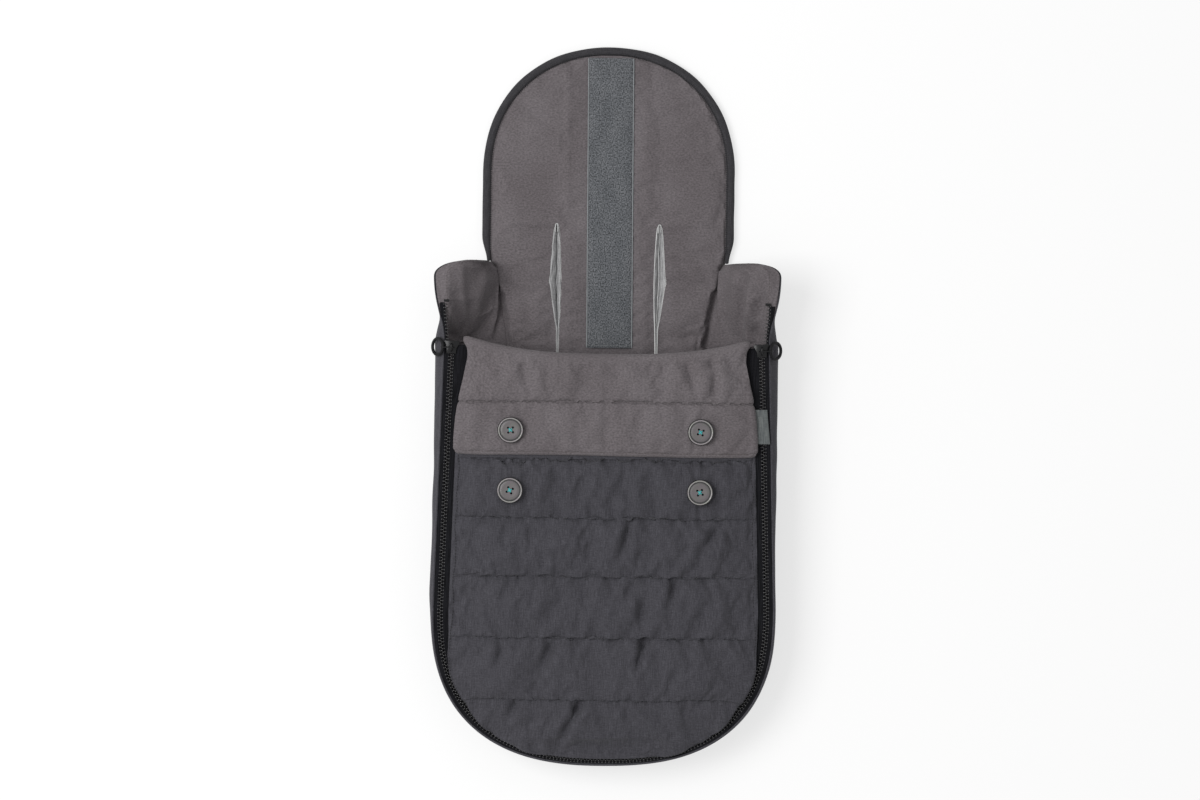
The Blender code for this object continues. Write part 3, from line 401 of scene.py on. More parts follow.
@dataclass(frozen=True)
class Finish:
    """What a surface is made of: its maker's name for it, its colour and its roughness."""

    name: str
    colour: str
    roughness: float

    def build(self) -> bpy.types.Material:
        """Makes the material on first use and returns it."""
        made = bpy.data.materials.get(self.name)
        if made:
            return made
        made = bpy.data.materials.new(self.name)
        made.use_nodes = True
        shader = made.node_tree.nodes["Principled BSDF"]
        shader.inputs["Base Color"].default_value = srgb(self.colour)
        shader.inputs["Roughness"].default_value = self.roughness
        made.diffuse_color = srgb(self.colour)
        self.dress(made.node_tree, shader)
        return made

    def dress(self, tree, shader) -> None:
        """Adds what this finish has beyond a colour."""
        raise NotImplementedError

    def pattern(self, tree, shader, colour, layers: tuple[Layer, ...], where: str = "UV") -> None:
        """Shades a colour and bumps the surface with layers of noise, the lowest first.

        Args:
            colour: what the layers lie on, or None where the first one is the ground itself.
            where: the coordinates in metres that the noise is laid out in.
        """
        normal = None
        for layer in layers:
            across, along = (1 / (value * MM) for value in layer.size)
            place = add_node(tree, "ShaderNodeTexCoord").outputs[where]
            inputs = {"Vector": place, "Scale": (across, along, across)}
            spread = add_node(tree, "ShaderNodeMapping", None, inputs)
            inputs = {"Vector": spread.outputs[0], "Scale": 1.0, "Detail": layer.detail}
            noise = add_node(tree, "ShaderNodeTexNoise", None, inputs).outputs["Fac"]
            if layer.dark:
                ramp = add_node(tree, "ShaderNodeValToRGB", None, {"Fac": noise})
                ends = zip(ramp.color_ramp.elements, layer.span, (layer.dark, layer.light))
                for stop, position, shade in ends:
                    stop.position, stop.color = position, srgb(shade)
                tone = ramp.outputs["Color"]
                if colour is not None:
                    inputs = {0: layer.share, 6: colour, 7: tone}
                    settings = {"data_type": "RGBA", "blend_type": "MULTIPLY"}
                    tone = add_node(tree, "ShaderNodeMix", settings, inputs).outputs[2]
                colour = tone
            if layer.depth:
                inputs = {"Height": noise, "Distance": layer.depth * MM, "Strength": 1.0}
                if normal:
                    inputs["Normal"] = normal
                normal = add_node(tree, "ShaderNodeBump", None, inputs).outputs["Normal"]
        tree.links.new(colour, shader.inputs["Base Color"])
        if normal:
            tree.links.new(normal, shader.inputs["Normal"])


@dataclass(frozen=True)
class Textile(Finish):
    """Cloth, tape or pile, whose ground runs from a dark colour to a light one."""

    dark: str
    light: str
    sheen: float = 0.1

    def layers(self) -> tuple[Layer, ...]:
        """The layers of its pattern, with the ground among them."""
        raise NotImplementedError

    def dress(self, tree, shader) -> None:
        """Takes off the gloss, as fibres scatter what a smooth face mirrors, and lays the pattern."""
        shader.inputs["Specular IOR Level"].default_value = 0.1
        shader.inputs["Sheen Weight"].default_value = self.sheen
        shader.inputs["Sheen Roughness"].default_value = 0.5
        self.pattern(tree, shader, None, self.layers())


@dataclass(frozen=True)
class MelangeCloth(Textile):
    """Woven polyester of dark and light yarns: fine warp streaks, matt, with a faint cross weave."""

    def layers(self) -> tuple[Layer, ...]:
        """Soft rumples, warp streaks, weft and flecks; the threads are twice as coarse as real."""
        return (
            Layer((13, 17), depth=1.1),
            Layer((0.9, 11), 4.0, self.dark, self.light, (0.3, 0.7), depth=0.16),
            Layer((7.7, 0.9), 4.0, "cfcfcf", share=0.6, depth=0.14),
            Layer((1.17, 1.53), 2.0, "c6c6c6", span=(0.38, 0.62), depth=0.1),
        )


@dataclass(frozen=True)
class NappedFleece(Textile):
    """Anti-pill fleece: short tangled nap in soft clumps, no gloss, a pale bloom at grazing angles."""

    def layers(self) -> tuple[Layer, ...]:
        """Clumps, a slow change of shade where the nap lies one way or the other, and fine hairs."""
        return (
            Layer((2.38, 1.7), 4.0, self.dark, self.light, (0.3, 0.7), depth=0.3),
            Layer((55, 80), 2.0, "d9d6d6"),
            Layer((0.9, 0.7), 3.0, "c4c4c4", share=0.45, depth=0.24),
        )


@dataclass(frozen=True)
class LoopPile(Textile):
    """The soft half of a hook-and-loop tape: a crushed mat of fine nylon loops that catch the light."""

    def layers(self) -> tuple[Layer, ...]:
        """Speckles of single loops over broad patches where the pile is pressed down."""
        return (
            Layer((1.3, 1.6), 3.0, self.dark, self.light, (0.36, 0.64), depth=0.5),
            Layer((14, 30), 3.0, "cdd0d2", depth=0.5),
        )


@dataclass(frozen=True)
class WovenTape(Textile):
    """Narrow woven tape: fine ribs along it, from zip tape's dull black to satin's silver."""

    rib: float = 1.0

    def layers(self) -> tuple[Layer, ...]:
        """Ribs of the given width in millimetres, and uneven threads across them."""
        return (
            Layer((self.rib, 22 * self.rib), 3.0, self.dark, self.light, depth=0.15),
            Layer((9 * self.rib, self.rib), 3.0, "c0c0c0", depth=0.12),
        )


@dataclass(frozen=True)
class HardPiece(Finish):
    """A moulded or cast piece: smooth, with faint mottling from the mould and fingers."""

    metallic: float = 0.0
    coat: float = 0.0
    shine: float = 0.5
    grain: float = 0.6
    depth: float = 0.02

    def dress(self, tree, shader) -> None:
        """Fine grain in the relief, in millimetres, and a slow change of tone."""
        shader.inputs["Metallic"].default_value = self.metallic
        shader.inputs["Specular IOR Level"].default_value = self.shine
        shader.inputs["Coat Weight"].default_value = self.coat
        shader.inputs["Coat Roughness"].default_value = 0.15
        grain = Layer((self.grain, self.grain), depth=self.depth)
        tone = Layer((7, 7), 2.0, "d0d0d0", span=(0.3, 0.7), share=0.6)
        self.pattern(tree, shader, srgb(self.colour), (grain, tone), "Object")


@dataclass(frozen=True)
class PearlResin(Finish):
    """Polyester button resin: pearl swirls in the face, with painted shade on the outer edge and in the
    groove, and a painted highlight on the raised rim.
    """

    def dress(self, tree, shader) -> None:
        """Swirls from warm to cool grey, with the face darker towards its edge, and painted shade and a
        painted highlight set by how far out a point was turned.
        """
        turned = add_node(tree, "ShaderNodeAttribute", {"attribute_name": "turned"}).outputs["Fac"]
        ramp = add_node(tree, "ShaderNodeValToRGB", None, {"Fac": turned})
        stops = ramp.color_ramp.elements
        stops[0].position, stops[0].color = 0.0, srgb("9c989b")
        stops[1].position, stops[1].color = 0.7, srgb("8a878a")
        # Painted shade in the groove inside the rim, a painted highlight on the raised rim and painted
        # shadow on the outer edge, by how far out a point lies.
        rim = ((0.75, "2c2c2e"), (0.82, "2c2c2e"), (0.86, "e6e6e6"), (0.92, "d8d8d8"), (0.95, "1e1e20"))
        for place, shade in rim:
            stops.new(place).color = srgb(shade)
        shader.inputs["Coat Weight"].default_value = 0.35
        shader.inputs["Coat Roughness"].default_value = 0.25
        swirl = Layer((9, 6), 3.0, "a1999d", "a3a49d", share=1.0)
        self.pattern(tree, shader, ramp.outputs["Color"], (swirl,), "Object")


SHELL_CLOTH = MelangeCloth("charcoal_melange_polyester", "47464b", 0.9, "424146", "545359")
TRIM_CLOTH = MelangeCloth("dark_binding_polyester", "3f3e41", 0.9, "38373a", "48474a")
FLEECE = NappedFleece("warm_grey_fleece", "665f5e", 1.0, "625d5f", "7d777a")
LOOP_TAPE = LoopPile("grey_loop_pile", "5d5f63", 1.0, "3e4042", "7a7c80", 0.2)
SATIN = WovenTape("silver_grey_satin", "9c9c9d", 0.4, "7c7c7d", "bcbcbd", 0.3, 0.8)
# A paler copy of the satin: a painted highlight on the slots' folded edges and head-end loops.
SATIN_PAINTED_HIGHLIGHT = WovenTape("satin_painted_highlight", "b4b4b4", 0.45, "a0a0a0", "cacaca", 0.2, 0.7)
SELVEDGE = WovenTape("pale_selvedge", "86898b", 0.8, "7a7d7f", "94979a", 0.1, 0.7)
ZIP_TAPE = WovenTape("black_zip_tape", "161618", 0.95, "0f0f11", "202024", 0.0)
RIBBON = WovenTape("grey_ribbon", "646867", 0.75, "54585a", "747877", 0.1, 0.7)
ZIP_RESIN = HardPiece("black_moulded_resin", "141416", 0.25, coat=0.6, shine=0.3)
ZINC = HardPiece("black_lacquered_zinc", "0d0d0f", 0.3, coat=0.2, shine=0.15)
RUBBER = HardPiece("black_rubber", "131315", 0.55, shine=0.15)
BUTTON_RESIN = PearlResin("grey_pearl_resin", "6a686a", 0.32)
SPUN = {"grain": 0.4, "depth": 0.05}
DARK_THREAD = HardPiece("charcoal_thread", "37363b", 0.9, **SPUN)
BLACK_THREAD = HardPiece("black_thread", "252427", 0.9, **SPUN)
GREY_THREAD = HardPiece("grey_thread", "787b7d", 0.85, **SPUN)
FLEECE_THREAD = HardPiece("warm_grey_thread", "575150", 0.9, **SPUN)
TURQUOISE_THREAD = HardPiece("turquoise_thread", "49b9bb", 0.7, grain=0.5, depth=0.08)


# Pieces and cloth


def link(obj: bpy.types.Object) -> bpy.types.Object:
    """Puts an object in the scene."""
    bpy.context.scene.collection.objects.link(obj)
    return obj


def baked(obj: bpy.types.Object) -> bpy.types.Object:
    """The object with its modifiers applied, as a new plain mesh object of the same name."""
    bpy.context.view_layer.update()
    graph = bpy.context.evaluated_depsgraph_get()
    mesh = bpy.data.meshes.new_from_object(obj.evaluated_get(graph))
    name = obj.name
    bpy.data.objects.remove(obj, do_unlink=True)
    mesh.name = name
    return link(bpy.data.objects.new(name, mesh))


def in_cloth(points: np.ndarray, faces: list, uv: np.ndarray, name: str) -> bpy.types.Mesh:
    """A mesh whose UV map holds each point's place on the flat cloth."""
    mesh = bpy.data.meshes.new(name)
    mesh.from_pydata(points.tolist(), [], faces)
    corners = np.empty(len(mesh.loops), np.int32)
    mesh.loops.foreach_get("vertex_index", corners)
    mesh.uv_layers.new(name="cloth").data.foreach_set("uv", uv[corners].ravel())
    return mesh


def rounded(name: str, mesh: bpy.types.Mesh, levels: int) -> bpy.types.Object:
    """The mesh as a smooth piece, with the given levels of subdivision applied."""
    obj = link(bpy.data.objects.new(name, mesh))
    if levels:
        finer = obj.modifiers.new("rounder", "SUBSURF")
        finer.levels = finer.render_levels = levels
        obj = baked(obj)
    obj.data.shade_smooth()
    return obj


def hand_over(obj, finish: Finish, body: str, nodes: tuple[str, ...] = ()) -> None:
    """Gives a finished piece its material, its body and the CAD nodes that it stands for."""
    obj.data.materials.clear()
    obj.data.materials.append(finish.build())
    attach(obj, body)
    if nodes:
        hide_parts(*nodes)
    LOG.info("%s: %d faces, on %s", obj.name, len(obj.data.polygons), body)


@dataclass(frozen=True)
class Drape:
    """How a cloth is let go in the simulation.

    Attributes:
        grow: how much longer the cloth is than the space between its seams, as a share.
        pressure: push from the padding behind it.
        bending: resistance to folding.
        frames: how long it settles.
        cap: the furthest that a point may move.
    """

    grow: float
    pressure: float
    bending: float = 0.5
    frames: int = 18
    cap: float = 6 * MM


class Cloth:
    """A sheet of cloth as rows and columns of points, with a UV map in metres."""

    def __init__(self, grid: np.ndarray, gone: np.ndarray | None = None) -> None:
        """Takes points of shape (rows, columns, 3), and which cells between them are cut away."""
        self.grid = np.array(grid, float)
        self.gone = gone
        self.uv = self.lay_flat()

    def lay_flat(self) -> np.ndarray:
        """Distances across each row from its middle, and along the middle column."""
        across = np.linalg.norm(np.diff(self.grid, axis=1), axis=2)
        u = np.concatenate([np.zeros((len(across), 1)), np.cumsum(across, axis=1)], axis=1)
        middle = self.grid.shape[1] // 2
        u -= u[:, middle : middle + 1]
        v = reach_along(self.grid[:, middle])
        return np.stack([u, np.broadcast_to(v[:, None], u.shape)], -1)

    def refined(self) -> "Cloth":
        """The same cloth with a point put smoothly between each two."""
        gone = None
        if self.gone is not None:
            gone = np.repeat(np.repeat(self.gone, 2, axis=0), 2, axis=1)
        made = Cloth(doubled(doubled(self.grid, 0), 1), gone)
        made.uv = doubled(doubled(self.uv, 0), 1)
        return made

    def raise_by(self, height: np.ndarray) -> None:
        """Moves each point out along its normal."""
        self.grid += self.normals() * height[..., None]

    def normals(self) -> np.ndarray:
        """The unit normal at each point, on the side where columns turn left into rows."""
        across = np.gradient(self.grid, axis=1)
        along = np.gradient(self.grid, axis=0)
        normal = np.cross(across, along)
        return normal / np.maximum(np.linalg.norm(normal, axis=2, keepdims=True), 1e-12)

    def faces(self) -> list[tuple[int, int, int, int]]:
        """The cells that are left, as corner numbers."""
        rows, columns = self.grid.shape[:2]
        made = []
        for i in range(rows - 1):
            for j in range(columns - 1):
                if self.gone is None or not self.gone[i, j]:
                    a = i * columns + j
                    made.append((a, a + 1, a + columns + 1, a + columns))
        return made

    def relax(self, pinned: np.ndarray, drape: Drape) -> None:
        """Lets the cloth swell and crease between its pinned points, in a cloth simulation.

        Args:
            pinned: which points are sewn down, of shape (rows, columns).
            drape: how it is let go.
        """
        points = self.grid.reshape(-1, 3)
        mesh = bpy.data.meshes.new("draping")
        mesh.from_pydata(points.tolist(), [], self.faces())
        obj = link(bpy.data.objects.new("draping", mesh))
        pins = obj.vertex_groups.new(name="sewn")
        pins.add(np.flatnonzero(pinned.reshape(-1)).tolist(), 1.0, "REPLACE")
        modifier = obj.modifiers.new("cloth", "CLOTH")
        cloth = modifier.settings
        cloth.quality = 5
        cloth.mass = 0.15
        cloth.air_damping = 3.0
        cloth.tension_stiffness = 25
        cloth.compression_stiffness = 25
        cloth.shear_stiffness = 8
        cloth.bending_stiffness = drape.bending
        cloth.vertex_group_mass = pins.name
        cloth.shrink_min = -drape.grow
        cloth.use_pressure = True
        cloth.uniform_pressure_force = drape.pressure
        cloth.effector_weights.gravity = 0
        modifier.collision_settings.use_collision = False
        modifier.point_cache.frame_end = drape.frames
        for frame in range(1, drape.frames + 1):
            bpy.context.scene.frame_set(frame)
        evaluated = obj.evaluated_get(bpy.context.evaluated_depsgraph_get())
        moved = np.empty(points.size)
        evaluated.data.vertices.foreach_get("co", moved)
        shift = moved.reshape(points.shape) - points
        length = np.linalg.norm(shift, axis=1, keepdims=True)
        shift *= np.minimum(1.0, drape.cap / np.maximum(length, 1e-9))
        self.grid = (points + shift).reshape(self.grid.shape)
        bpy.data.objects.remove(obj, do_unlink=True)
        bpy.data.meshes.remove(mesh)

    def thick(self, name: str, below: np.ndarray, levels: int = 1) -> bpy.types.Object:
        """A closed piece between this sheet and the points below it, rounded by subdivision."""
        rows, columns = self.grid.shape[:2]
        count = rows * columns
        top = self.faces()
        points = np.concatenate([self.grid.reshape(-1, 3), np.asarray(below).reshape(-1, 3)])
        faces = list(top)
        faces += [tuple(count + i for i in reversed(face)) for face in top]
        edges = {}
        for face in top:
            for a, b in zip(face, face[1:] + face[:1]):
                if edges.pop((b, a), None) is None:
                    edges[(a, b)] = True
        faces += [(b, a, a + count, b + count) for a, b in edges]
        mesh = in_cloth(points, faces, np.tile(self.uv.reshape(-1, 2), (2, 1)), name)
        used = bmesh.new()
        used.from_mesh(mesh)
        loose = [vert for vert in used.verts if not vert.link_faces]
        bmesh.ops.delete(used, geom=loose, context="VERTS")
        bmesh.ops.recalc_face_normals(used, faces=used.faces)
        used.to_mesh(mesh)
        used.free()
        obj = rounded(name, mesh, levels)
        if not levels:
            obj.data.set_sharp_from_angle(angle=math.radians(60))
        return obj

    def offset(self, depth) -> np.ndarray:
        """The points that lie the given depth behind the sheet."""
        depth = np.asarray(depth, float)
        return self.grid - self.normals() * (depth[..., None] if depth.ndim else depth)


def sweep(path: np.ndarray, ups: np.ndarray, section: np.ndarray, closed: bool = False) -> Cloth:
    """A tube along a path.

    Args:
        path: the middle line.
        ups: the direction of the section's second coordinate, one or one for each point.
        section: points round the section, as (across, up).
        closed: whether the path ends where it starts.
    Returns:
        A sheet wrapped round the path, whose last column lies on its first.
    """
    if closed:
        along = np.roll(path, -1, axis=0) - np.roll(path, 1, axis=0)
    else:
        along = np.gradient(path, axis=0)
    along = unit(along)
    across = unit(np.cross(along, np.broadcast_to(ups, path.shape)))
    up = np.cross(across, along)
    ring = np.concatenate([section, section[:1]])
    grid = path[:, None] + across[:, None] * ring[None, :, :1] + up[:, None] * ring[None, :, 1:]
    if closed:
        grid = np.concatenate([grid, grid[:1]])
    return Cloth(grid)


def tube_piece(name: str, cloth: Cloth, capped: bool = True) -> bpy.types.Object:
    """A closed mesh from a swept sheet, welded along its seam and capped at its ends."""
    mesh = in_cloth(cloth.grid.reshape(-1, 3), cloth.faces(), cloth.uv.reshape(-1, 2), name)
    solid = bmesh.new()
    solid.from_mesh(mesh)
    bmesh.ops.remove_doubles(solid, verts=solid.verts, dist=1e-7)
    if capped:
        bmesh.ops.holes_fill(solid, edges=solid.edges, sides=cloth.grid.shape[1])
    bmesh.ops.recalc_face_normals(solid, faces=solid.faces)
    solid.to_mesh(mesh)
    solid.free()
    return rounded(name, mesh, 1)


def oval(across: float, up: float, steps: int = 10) -> np.ndarray:
    """An oval section with the given half sizes."""
    angle = np.linspace(0, 2 * math.pi, steps, endpoint=False)
    return np.stack([across * np.cos(angle), up * np.sin(angle)], -1)


# What repeats


class Repeat(Enum):
    """The small shapes that Geometry Nodes set along a line."""

    STITCH = "stitch"
    TOOTH = "tooth"


class Row:
    """Places for one repeated shape, gathered from many lines and built as one mesh for a body."""

    def __init__(self, shape: Repeat, size: tuple[float, float, float], finish: Finish) -> None:
        """Takes the shape, its length, width and height, and its finish."""
        self.shape = shape
        self.size = size
        self.finish = finish
        self.spots: list[np.ndarray] = []
        self.along: list[np.ndarray] = []
        self.ups: list[np.ndarray] = []

    def add(self, line: np.ndarray, ups: np.ndarray, pitch: float) -> None:
        """Adds places at an even pitch along a line of points with their upward directions."""
        reach = reach_along(line)
        count = max(2, round(reach[-1] / pitch))
        wanted = (np.arange(count) + 0.5) * reach[-1] / count
        self.spots.append(at_reach(wanted, reach, line))
        self.along.append(at_reach(wanted, reach, np.gradient(line, axis=0)))
        self.ups.append(at_reach(wanted, reach, np.broadcast_to(ups, line.shape)))

    def tree(self) -> bpy.types.NodeTree:
        """The Geometry Nodes tree that sets the shape at each point, turned along the line."""
        tree = bpy.data.node_groups.new("repeat_" + self.shape.value, "GeometryNodeTree")
        tree.interface.new_socket("Geometry", in_out="INPUT", socket_type="NodeSocketGeometry")
        for name in ("Length", "Width", "Height"):
            tree.interface.new_socket(name, in_out="INPUT", socket_type="NodeSocketFloat")
        tree.interface.new_socket("Finish", in_out="INPUT", socket_type="NodeSocketMaterial")
        tree.interface.new_socket("Geometry", in_out="OUTPUT", socket_type="NodeSocketGeometry")
        given = add_node(tree, "NodeGroupInput").outputs
        if self.shape is Repeat.STITCH:
            sphere = {"Segments": 7, "Rings": 5, "Radius": 0.5}
            shape = add_node(tree, "GeometryNodeMeshUVSphere", None, sphere).outputs["Mesh"]
        else:
            shape = self.tooth(tree)
        turn = None
        vectors = {"data_type": "FLOAT_VECTOR"}
        for axis, pivot, label in (("X", "AUTO", "along"), ("Z", "X", "up")):
            stored = add_node(tree, "GeometryNodeInputNamedAttribute", vectors, {"Name": label})
            inputs = {"Vector": stored.outputs["Attribute"]}
            if turn:
                inputs["Rotation"] = turn
            settings = {"axis": axis, "pivot_axis": pivot}
            turn = add_node(tree, "FunctionNodeAlignRotationToVector", settings, inputs).outputs[0]
        sizes = {"X": given["Length"], "Y": given["Width"], "Z": given["Height"]}
        scale = add_node(tree, "ShaderNodeCombineXYZ", None, sizes).outputs[0]
        inputs = {"Points": given["Geometry"], "Instance": shape, "Rotation": turn, "Scale": scale}
        placed = add_node(tree, "GeometryNodeInstanceOnPoints", None, inputs).outputs[0]
        real = add_node(tree, "GeometryNodeRealizeInstances", None, {"Geometry": placed}).outputs[0]
        soft = add_node(tree, "GeometryNodeSetShadeSmooth", None, {"Geometry": real}).outputs[0]
        inputs = {"Geometry": soft, "Material": given["Finish"]}
        done = add_node(tree, "GeometryNodeSetMaterial", None, inputs).outputs[0]
        add_node(tree, "NodeGroupOutput", None, {0: done})
        return tree

    def tooth(self, tree):
        """A moulded zip tooth of unit size: a neck across the tape's edge and a wider head."""
        parts = []
        for size, across in (((0.42, 0.78, 0.8), 0.1), ((0.72, 0.34, 1.0), -0.32)):
            block = add_node(tree, "GeometryNodeMeshCube", None, {"Size": size}).outputs["Mesh"]
            moved = {"Geometry": block, "Translation": (0.0, across, 0.0)}
            parts.append(add_node(tree, "GeometryNodeTransform", None, moved).outputs[0])
        joined = add_node(tree, "GeometryNodeJoinGeometry")
        for part in parts:
            tree.links.new(part, joined.inputs[0])
        softened = {"Mesh": joined.outputs[0], "Level": 1, "Edge Crease": 0.6}
        return add_node(tree, "GeometryNodeSubdivisionSurface", None, softened).outputs[0]

    def build(self, name: str) -> bpy.types.Object:
        """Runs the tree over every gathered place and returns the plain mesh that it makes."""
        mesh = bpy.data.meshes.new(name)
        mesh.from_pydata(np.concatenate(self.spots).tolist(), [], [])
        for label, vectors in (("along", self.along), ("up", self.ups)):
            layer = mesh.attributes.new(label, "FLOAT_VECTOR", "POINT")
            layer.data.foreach_set("vector", np.concatenate(vectors).ravel())
        obj = link(bpy.data.objects.new(name, mesh))
        modifier = obj.modifiers.new("repeat", "NODES")
        modifier.node_group = self.tree()
        values = dict(zip(("Length", "Width", "Height"), self.size))
        values["Finish"] = self.finish.build()
        for socket in modifier.node_group.interface.items_tree:
            if socket.in_out == "INPUT" and socket.name in values:
                modifier[socket.identifier] = values[socket.name]
        return baked(obj)


class Needlework:
    """Every visible line of machine stitching, one mesh for each body and thread."""

    PITCH = 3.4 * MM
    CROSSING_PITCH = 2.3 * MM
    STITCH = (2.7 * MM, 0.75 * MM, 0.6 * MM)
    CROSSING = (3.0 * MM, 0.9 * MM, 0.7 * MM)

    def __init__(self) -> None:
        """Starts with no lines."""
        self.rows: dict[tuple[str, Finish], Row] = {}

    def row(self, body: str, finish: Finish, size: tuple[float, float, float]) -> Row:
        """The stitches of a body in one thread, started with their size at first use."""
        return self.rows.setdefault((body, finish), Row(Repeat.STITCH, size, finish))

    def sew(self, body: str, line: np.ndarray, ups: np.ndarray, finish: Finish = DARK_THREAD) -> None:
        """Adds a line of stitches that lies on a piece of the given body."""
        self.row(body, finish, self.STITCH).add(line, ups, self.PITCH)

    def overlock(self, body: str, line: np.ndarray, ups: np.ndarray) -> None:
        """Adds short dark stitches that cross a line, as an overlocked edge has."""
        row = self.row(body, BLACK_THREAD, self.CROSSING)
        row.add(line, ups, self.CROSSING_PITCH)
        row.along[-1] = np.cross(row.along[-1], row.ups[-1])

    def build(self) -> None:
        """Makes the meshes."""
        for (body, finish), row in self.rows.items():
            hand_over(row.build(f"{body}_{finish.name}_stitching"), finish, body)


# Sub-assemblies


@dataclass
class BackPanel:
    """The back panel and the head panel in one: outer cloth below, padded fleece above."""

    needlework: Needlework
    slot_spacing: float = 111 * MM
    slot_from_foot: float = 391 * MM
    slot_length: float = 190 * MM
    slot_places: tuple = (391, 442, 468, 482, 498, 513, 519, 525, 546, 570, 577, 581)
    slot_inner: tuple = (2.4, 2.6, 3.2, 4.0, 4.4, 4.6, 4.6, 4.5, 4.0, 2.6, 1.8, 0.2)
    slot_outer: tuple = (-2.0, -2.0, -1.6, 1.0, 3.2, 5.4, 7.2, 5.8, 4.4, 2.8, 1.8, 0.2)
    strip_half: float = 25 * MM
    facing: float = 0.9 * MM
    binding: float = 9.6 * MM
    seam_overlap: float = 1.4 * MM
    seam_valley: float = 6 * MM
    valley_depth: float = 13.0 * MM
    head_edge_drop: float = 3.6 * MM
    slot_dip: float = 1.2 * MM
    billow: float = 1.0 * MM
    outer_thickness: float = 1.1 * MM
    underside: float = 1.3 * MM
    least_height: float = 2.2 * MM
    drape: Drape = Drape(0.022, 0.35, 0.8, 18, 5 * MM)
    creases: tuple = (
        (72, 160, 92, 139, 1.5, 4),
        (97, 150, 114, 134, 1.6, 4),
        (58, 188, 104, 168, 0.8, 5),
        (-88, 113, -80, 80, 1.5, 5),
        (-64, 190, -100, 176, 0.6, 5),
        (84, 84, 92, 56, 1.0, 5),
        (-34, 60, -40, 96, 0.6, 4),
    )

    @property
    def slot_foot(self) -> float:
        """Where the slots start."""
        return PLAN.foot_y + self.slot_from_foot

    def slot_edges(self, y) -> tuple[np.ndarray, np.ndarray]:
        """How far a slot reaches to the strip's side and to the outer side of its line, along it."""
        place = (y - PLAN.foot_y) / MM
        inner = np.interp(place, self.slot_places, self.slot_inner)
        outer = np.interp(place, self.slot_places, self.slot_outer)
        return inner * MM, outer * MM

    def slot_width(self, y) -> np.ndarray:
        """A slot's width at a place along it."""
        return np.sum(self.slot_edges(y), axis=0)

    def half_at(self, y):
        """Half the panel's width between its seams or inside the head's binding."""
        head = PLAN.head_half_at(y, self.binding - 0.4 * MM)
        depth = PLAN.foot_depth - PLAN.foot_seam_inset
        run = np.clip((PLAN.foot_centre_y - y) / depth, 0, 1)
        foot = PLAN.seam_foot * (1 - run**PLAN.roundness) ** (1 / PLAN.roundness)
        side = np.where(y < PLAN.foot_centre_y, foot, np.minimum(PLAN.seam_x(y), head))
        return np.where(y > PLAN.wing_y, head, side)

    def rows(self) -> np.ndarray:
        """Places of the rows: closer together at both ends and along the slots."""
        foot = PLAN.foot_y + PLAN.foot_seam_inset
        head = PLAN.length / 2 - self.binding
        start = self.slot_foot
        end = start + self.slot_length
        low = mix(foot, start, np.linspace(0.002, 1, 56, endpoint=False) ** 0.9)
        slot = np.linspace(start, end, 52)
        high = mix(end, head, 1 - (1 - np.linspace(0, 0.9985, 44)[1:]) ** 1.5)
        return np.concatenate([low, slot, high])

    def grid(self, margin: float) -> tuple[np.ndarray, np.ndarray, np.ndarray]:
        """The panel's points at no height, which cells the slots take, and each point's share across."""
        y = self.rows()
        half = self.half_at(y)
        narrow = np.minimum(1.0, half / (100 * MM))
        strip = self.strip_half * narrow
        slot = self.slot_spacing / 2 * narrow
        inner, outer = self.slot_edges(y)
        within = [np.zeros_like(y), strip, slot - (inner + margin) * narrow]
        stops = [*within, slot + (outer + margin) * narrow, half]
        cells = (5, 6, 2, 15)
        columns = [stops[0]]
        for low, high, count in zip(stops, stops[1:], cells):
            shares = np.arange(1, count + 1) / count
            if count == cells[-1]:
                shares = 1 - (1 - shares) ** 1.5
            columns += [mix(low, high, part) for part in shares]
        right = np.stack(columns, 1)
        x = np.concatenate([-right[:, :0:-1], right], axis=1)
        points = np.stack([x, np.broadcast_to(y[:, None], x.shape), np.zeros_like(x)], -1)
        middle = (y[1:] + y[:-1]) / 2
        open_rows = (middle > self.slot_foot) & (middle < self.slot_foot + self.slot_length)
        gone = np.zeros((len(y) - 1, x.shape[1] - 1), bool)
        first = cells[0] + cells[1]
        middle = right.shape[1] - 1
        for column in range(first, first + cells[2]):
            gone[:, middle + column] = open_rows
            gone[:, middle - 1 - column] = open_rows
        return points, gone, x / half[:, None]

    def build(self) -> None:
        """Makes the outer cloth and the padded fleece."""
        points, gone, share = self.grid(self.facing + PLAN.gap)
        x, y = points[..., 0], points[..., 1]
        plain = Cloth(points + (0, 0, self.outer_thickness), gone)
        cloth = plain.thick("back_cloth", points, 0)
        hand_over(cloth, SHELL_CLOTH, "bag", ("back_shell",))
        edge = np.abs(share) ** 14
        head = smooth((y - PLAN.wing_y + 4 * MM) / (20 * MM))
        waves = ripple(x / (34 * MM), y / (46 * MM), 3)
        side = np.clip((np.abs(x) - self.strip_half) / (20 * MM), 0, 1)
        slot_near = bell(np.abs(np.abs(x) - self.slot_spacing / 2), 10 * MM)
        slot_near *= smooth((y - PLAN.foot_y - self.slot_from_foot) / (15 * MM))
        slot_near *= smooth((self.slot_foot + self.slot_length - y) / (10 * MM))
        inside = (1 - np.abs(share)) * self.half_at(y)
        valley = self.valley_depth * np.clip(1 - inside / self.seam_valley, 0, 1) ** 1.3 * (1 - head)
        height = PLAN.panel_top - self.head_edge_drop * edge * head - valley
        height += self.billow * waves * side * (1 - edge)
        height -= self.slot_dip * slot_near
        sewn_on = smooth((PLAN.wing_y - y) / (12 * MM)) * (1 - head)
        points[..., 0] += np.sign(x) * self.seam_overlap * smooth((np.abs(share) - 0.9) / 0.1) * sewn_on
        points[..., 2] = height
        fleece = Cloth(points, gone)
        pinned = (np.abs(share) > 0.985) | (np.abs(x) <= self.strip_half + 0.1 * MM)
        beside = np.abs(x) - self.slot_spacing / 2
        inner, outer = self.slot_edges(y)
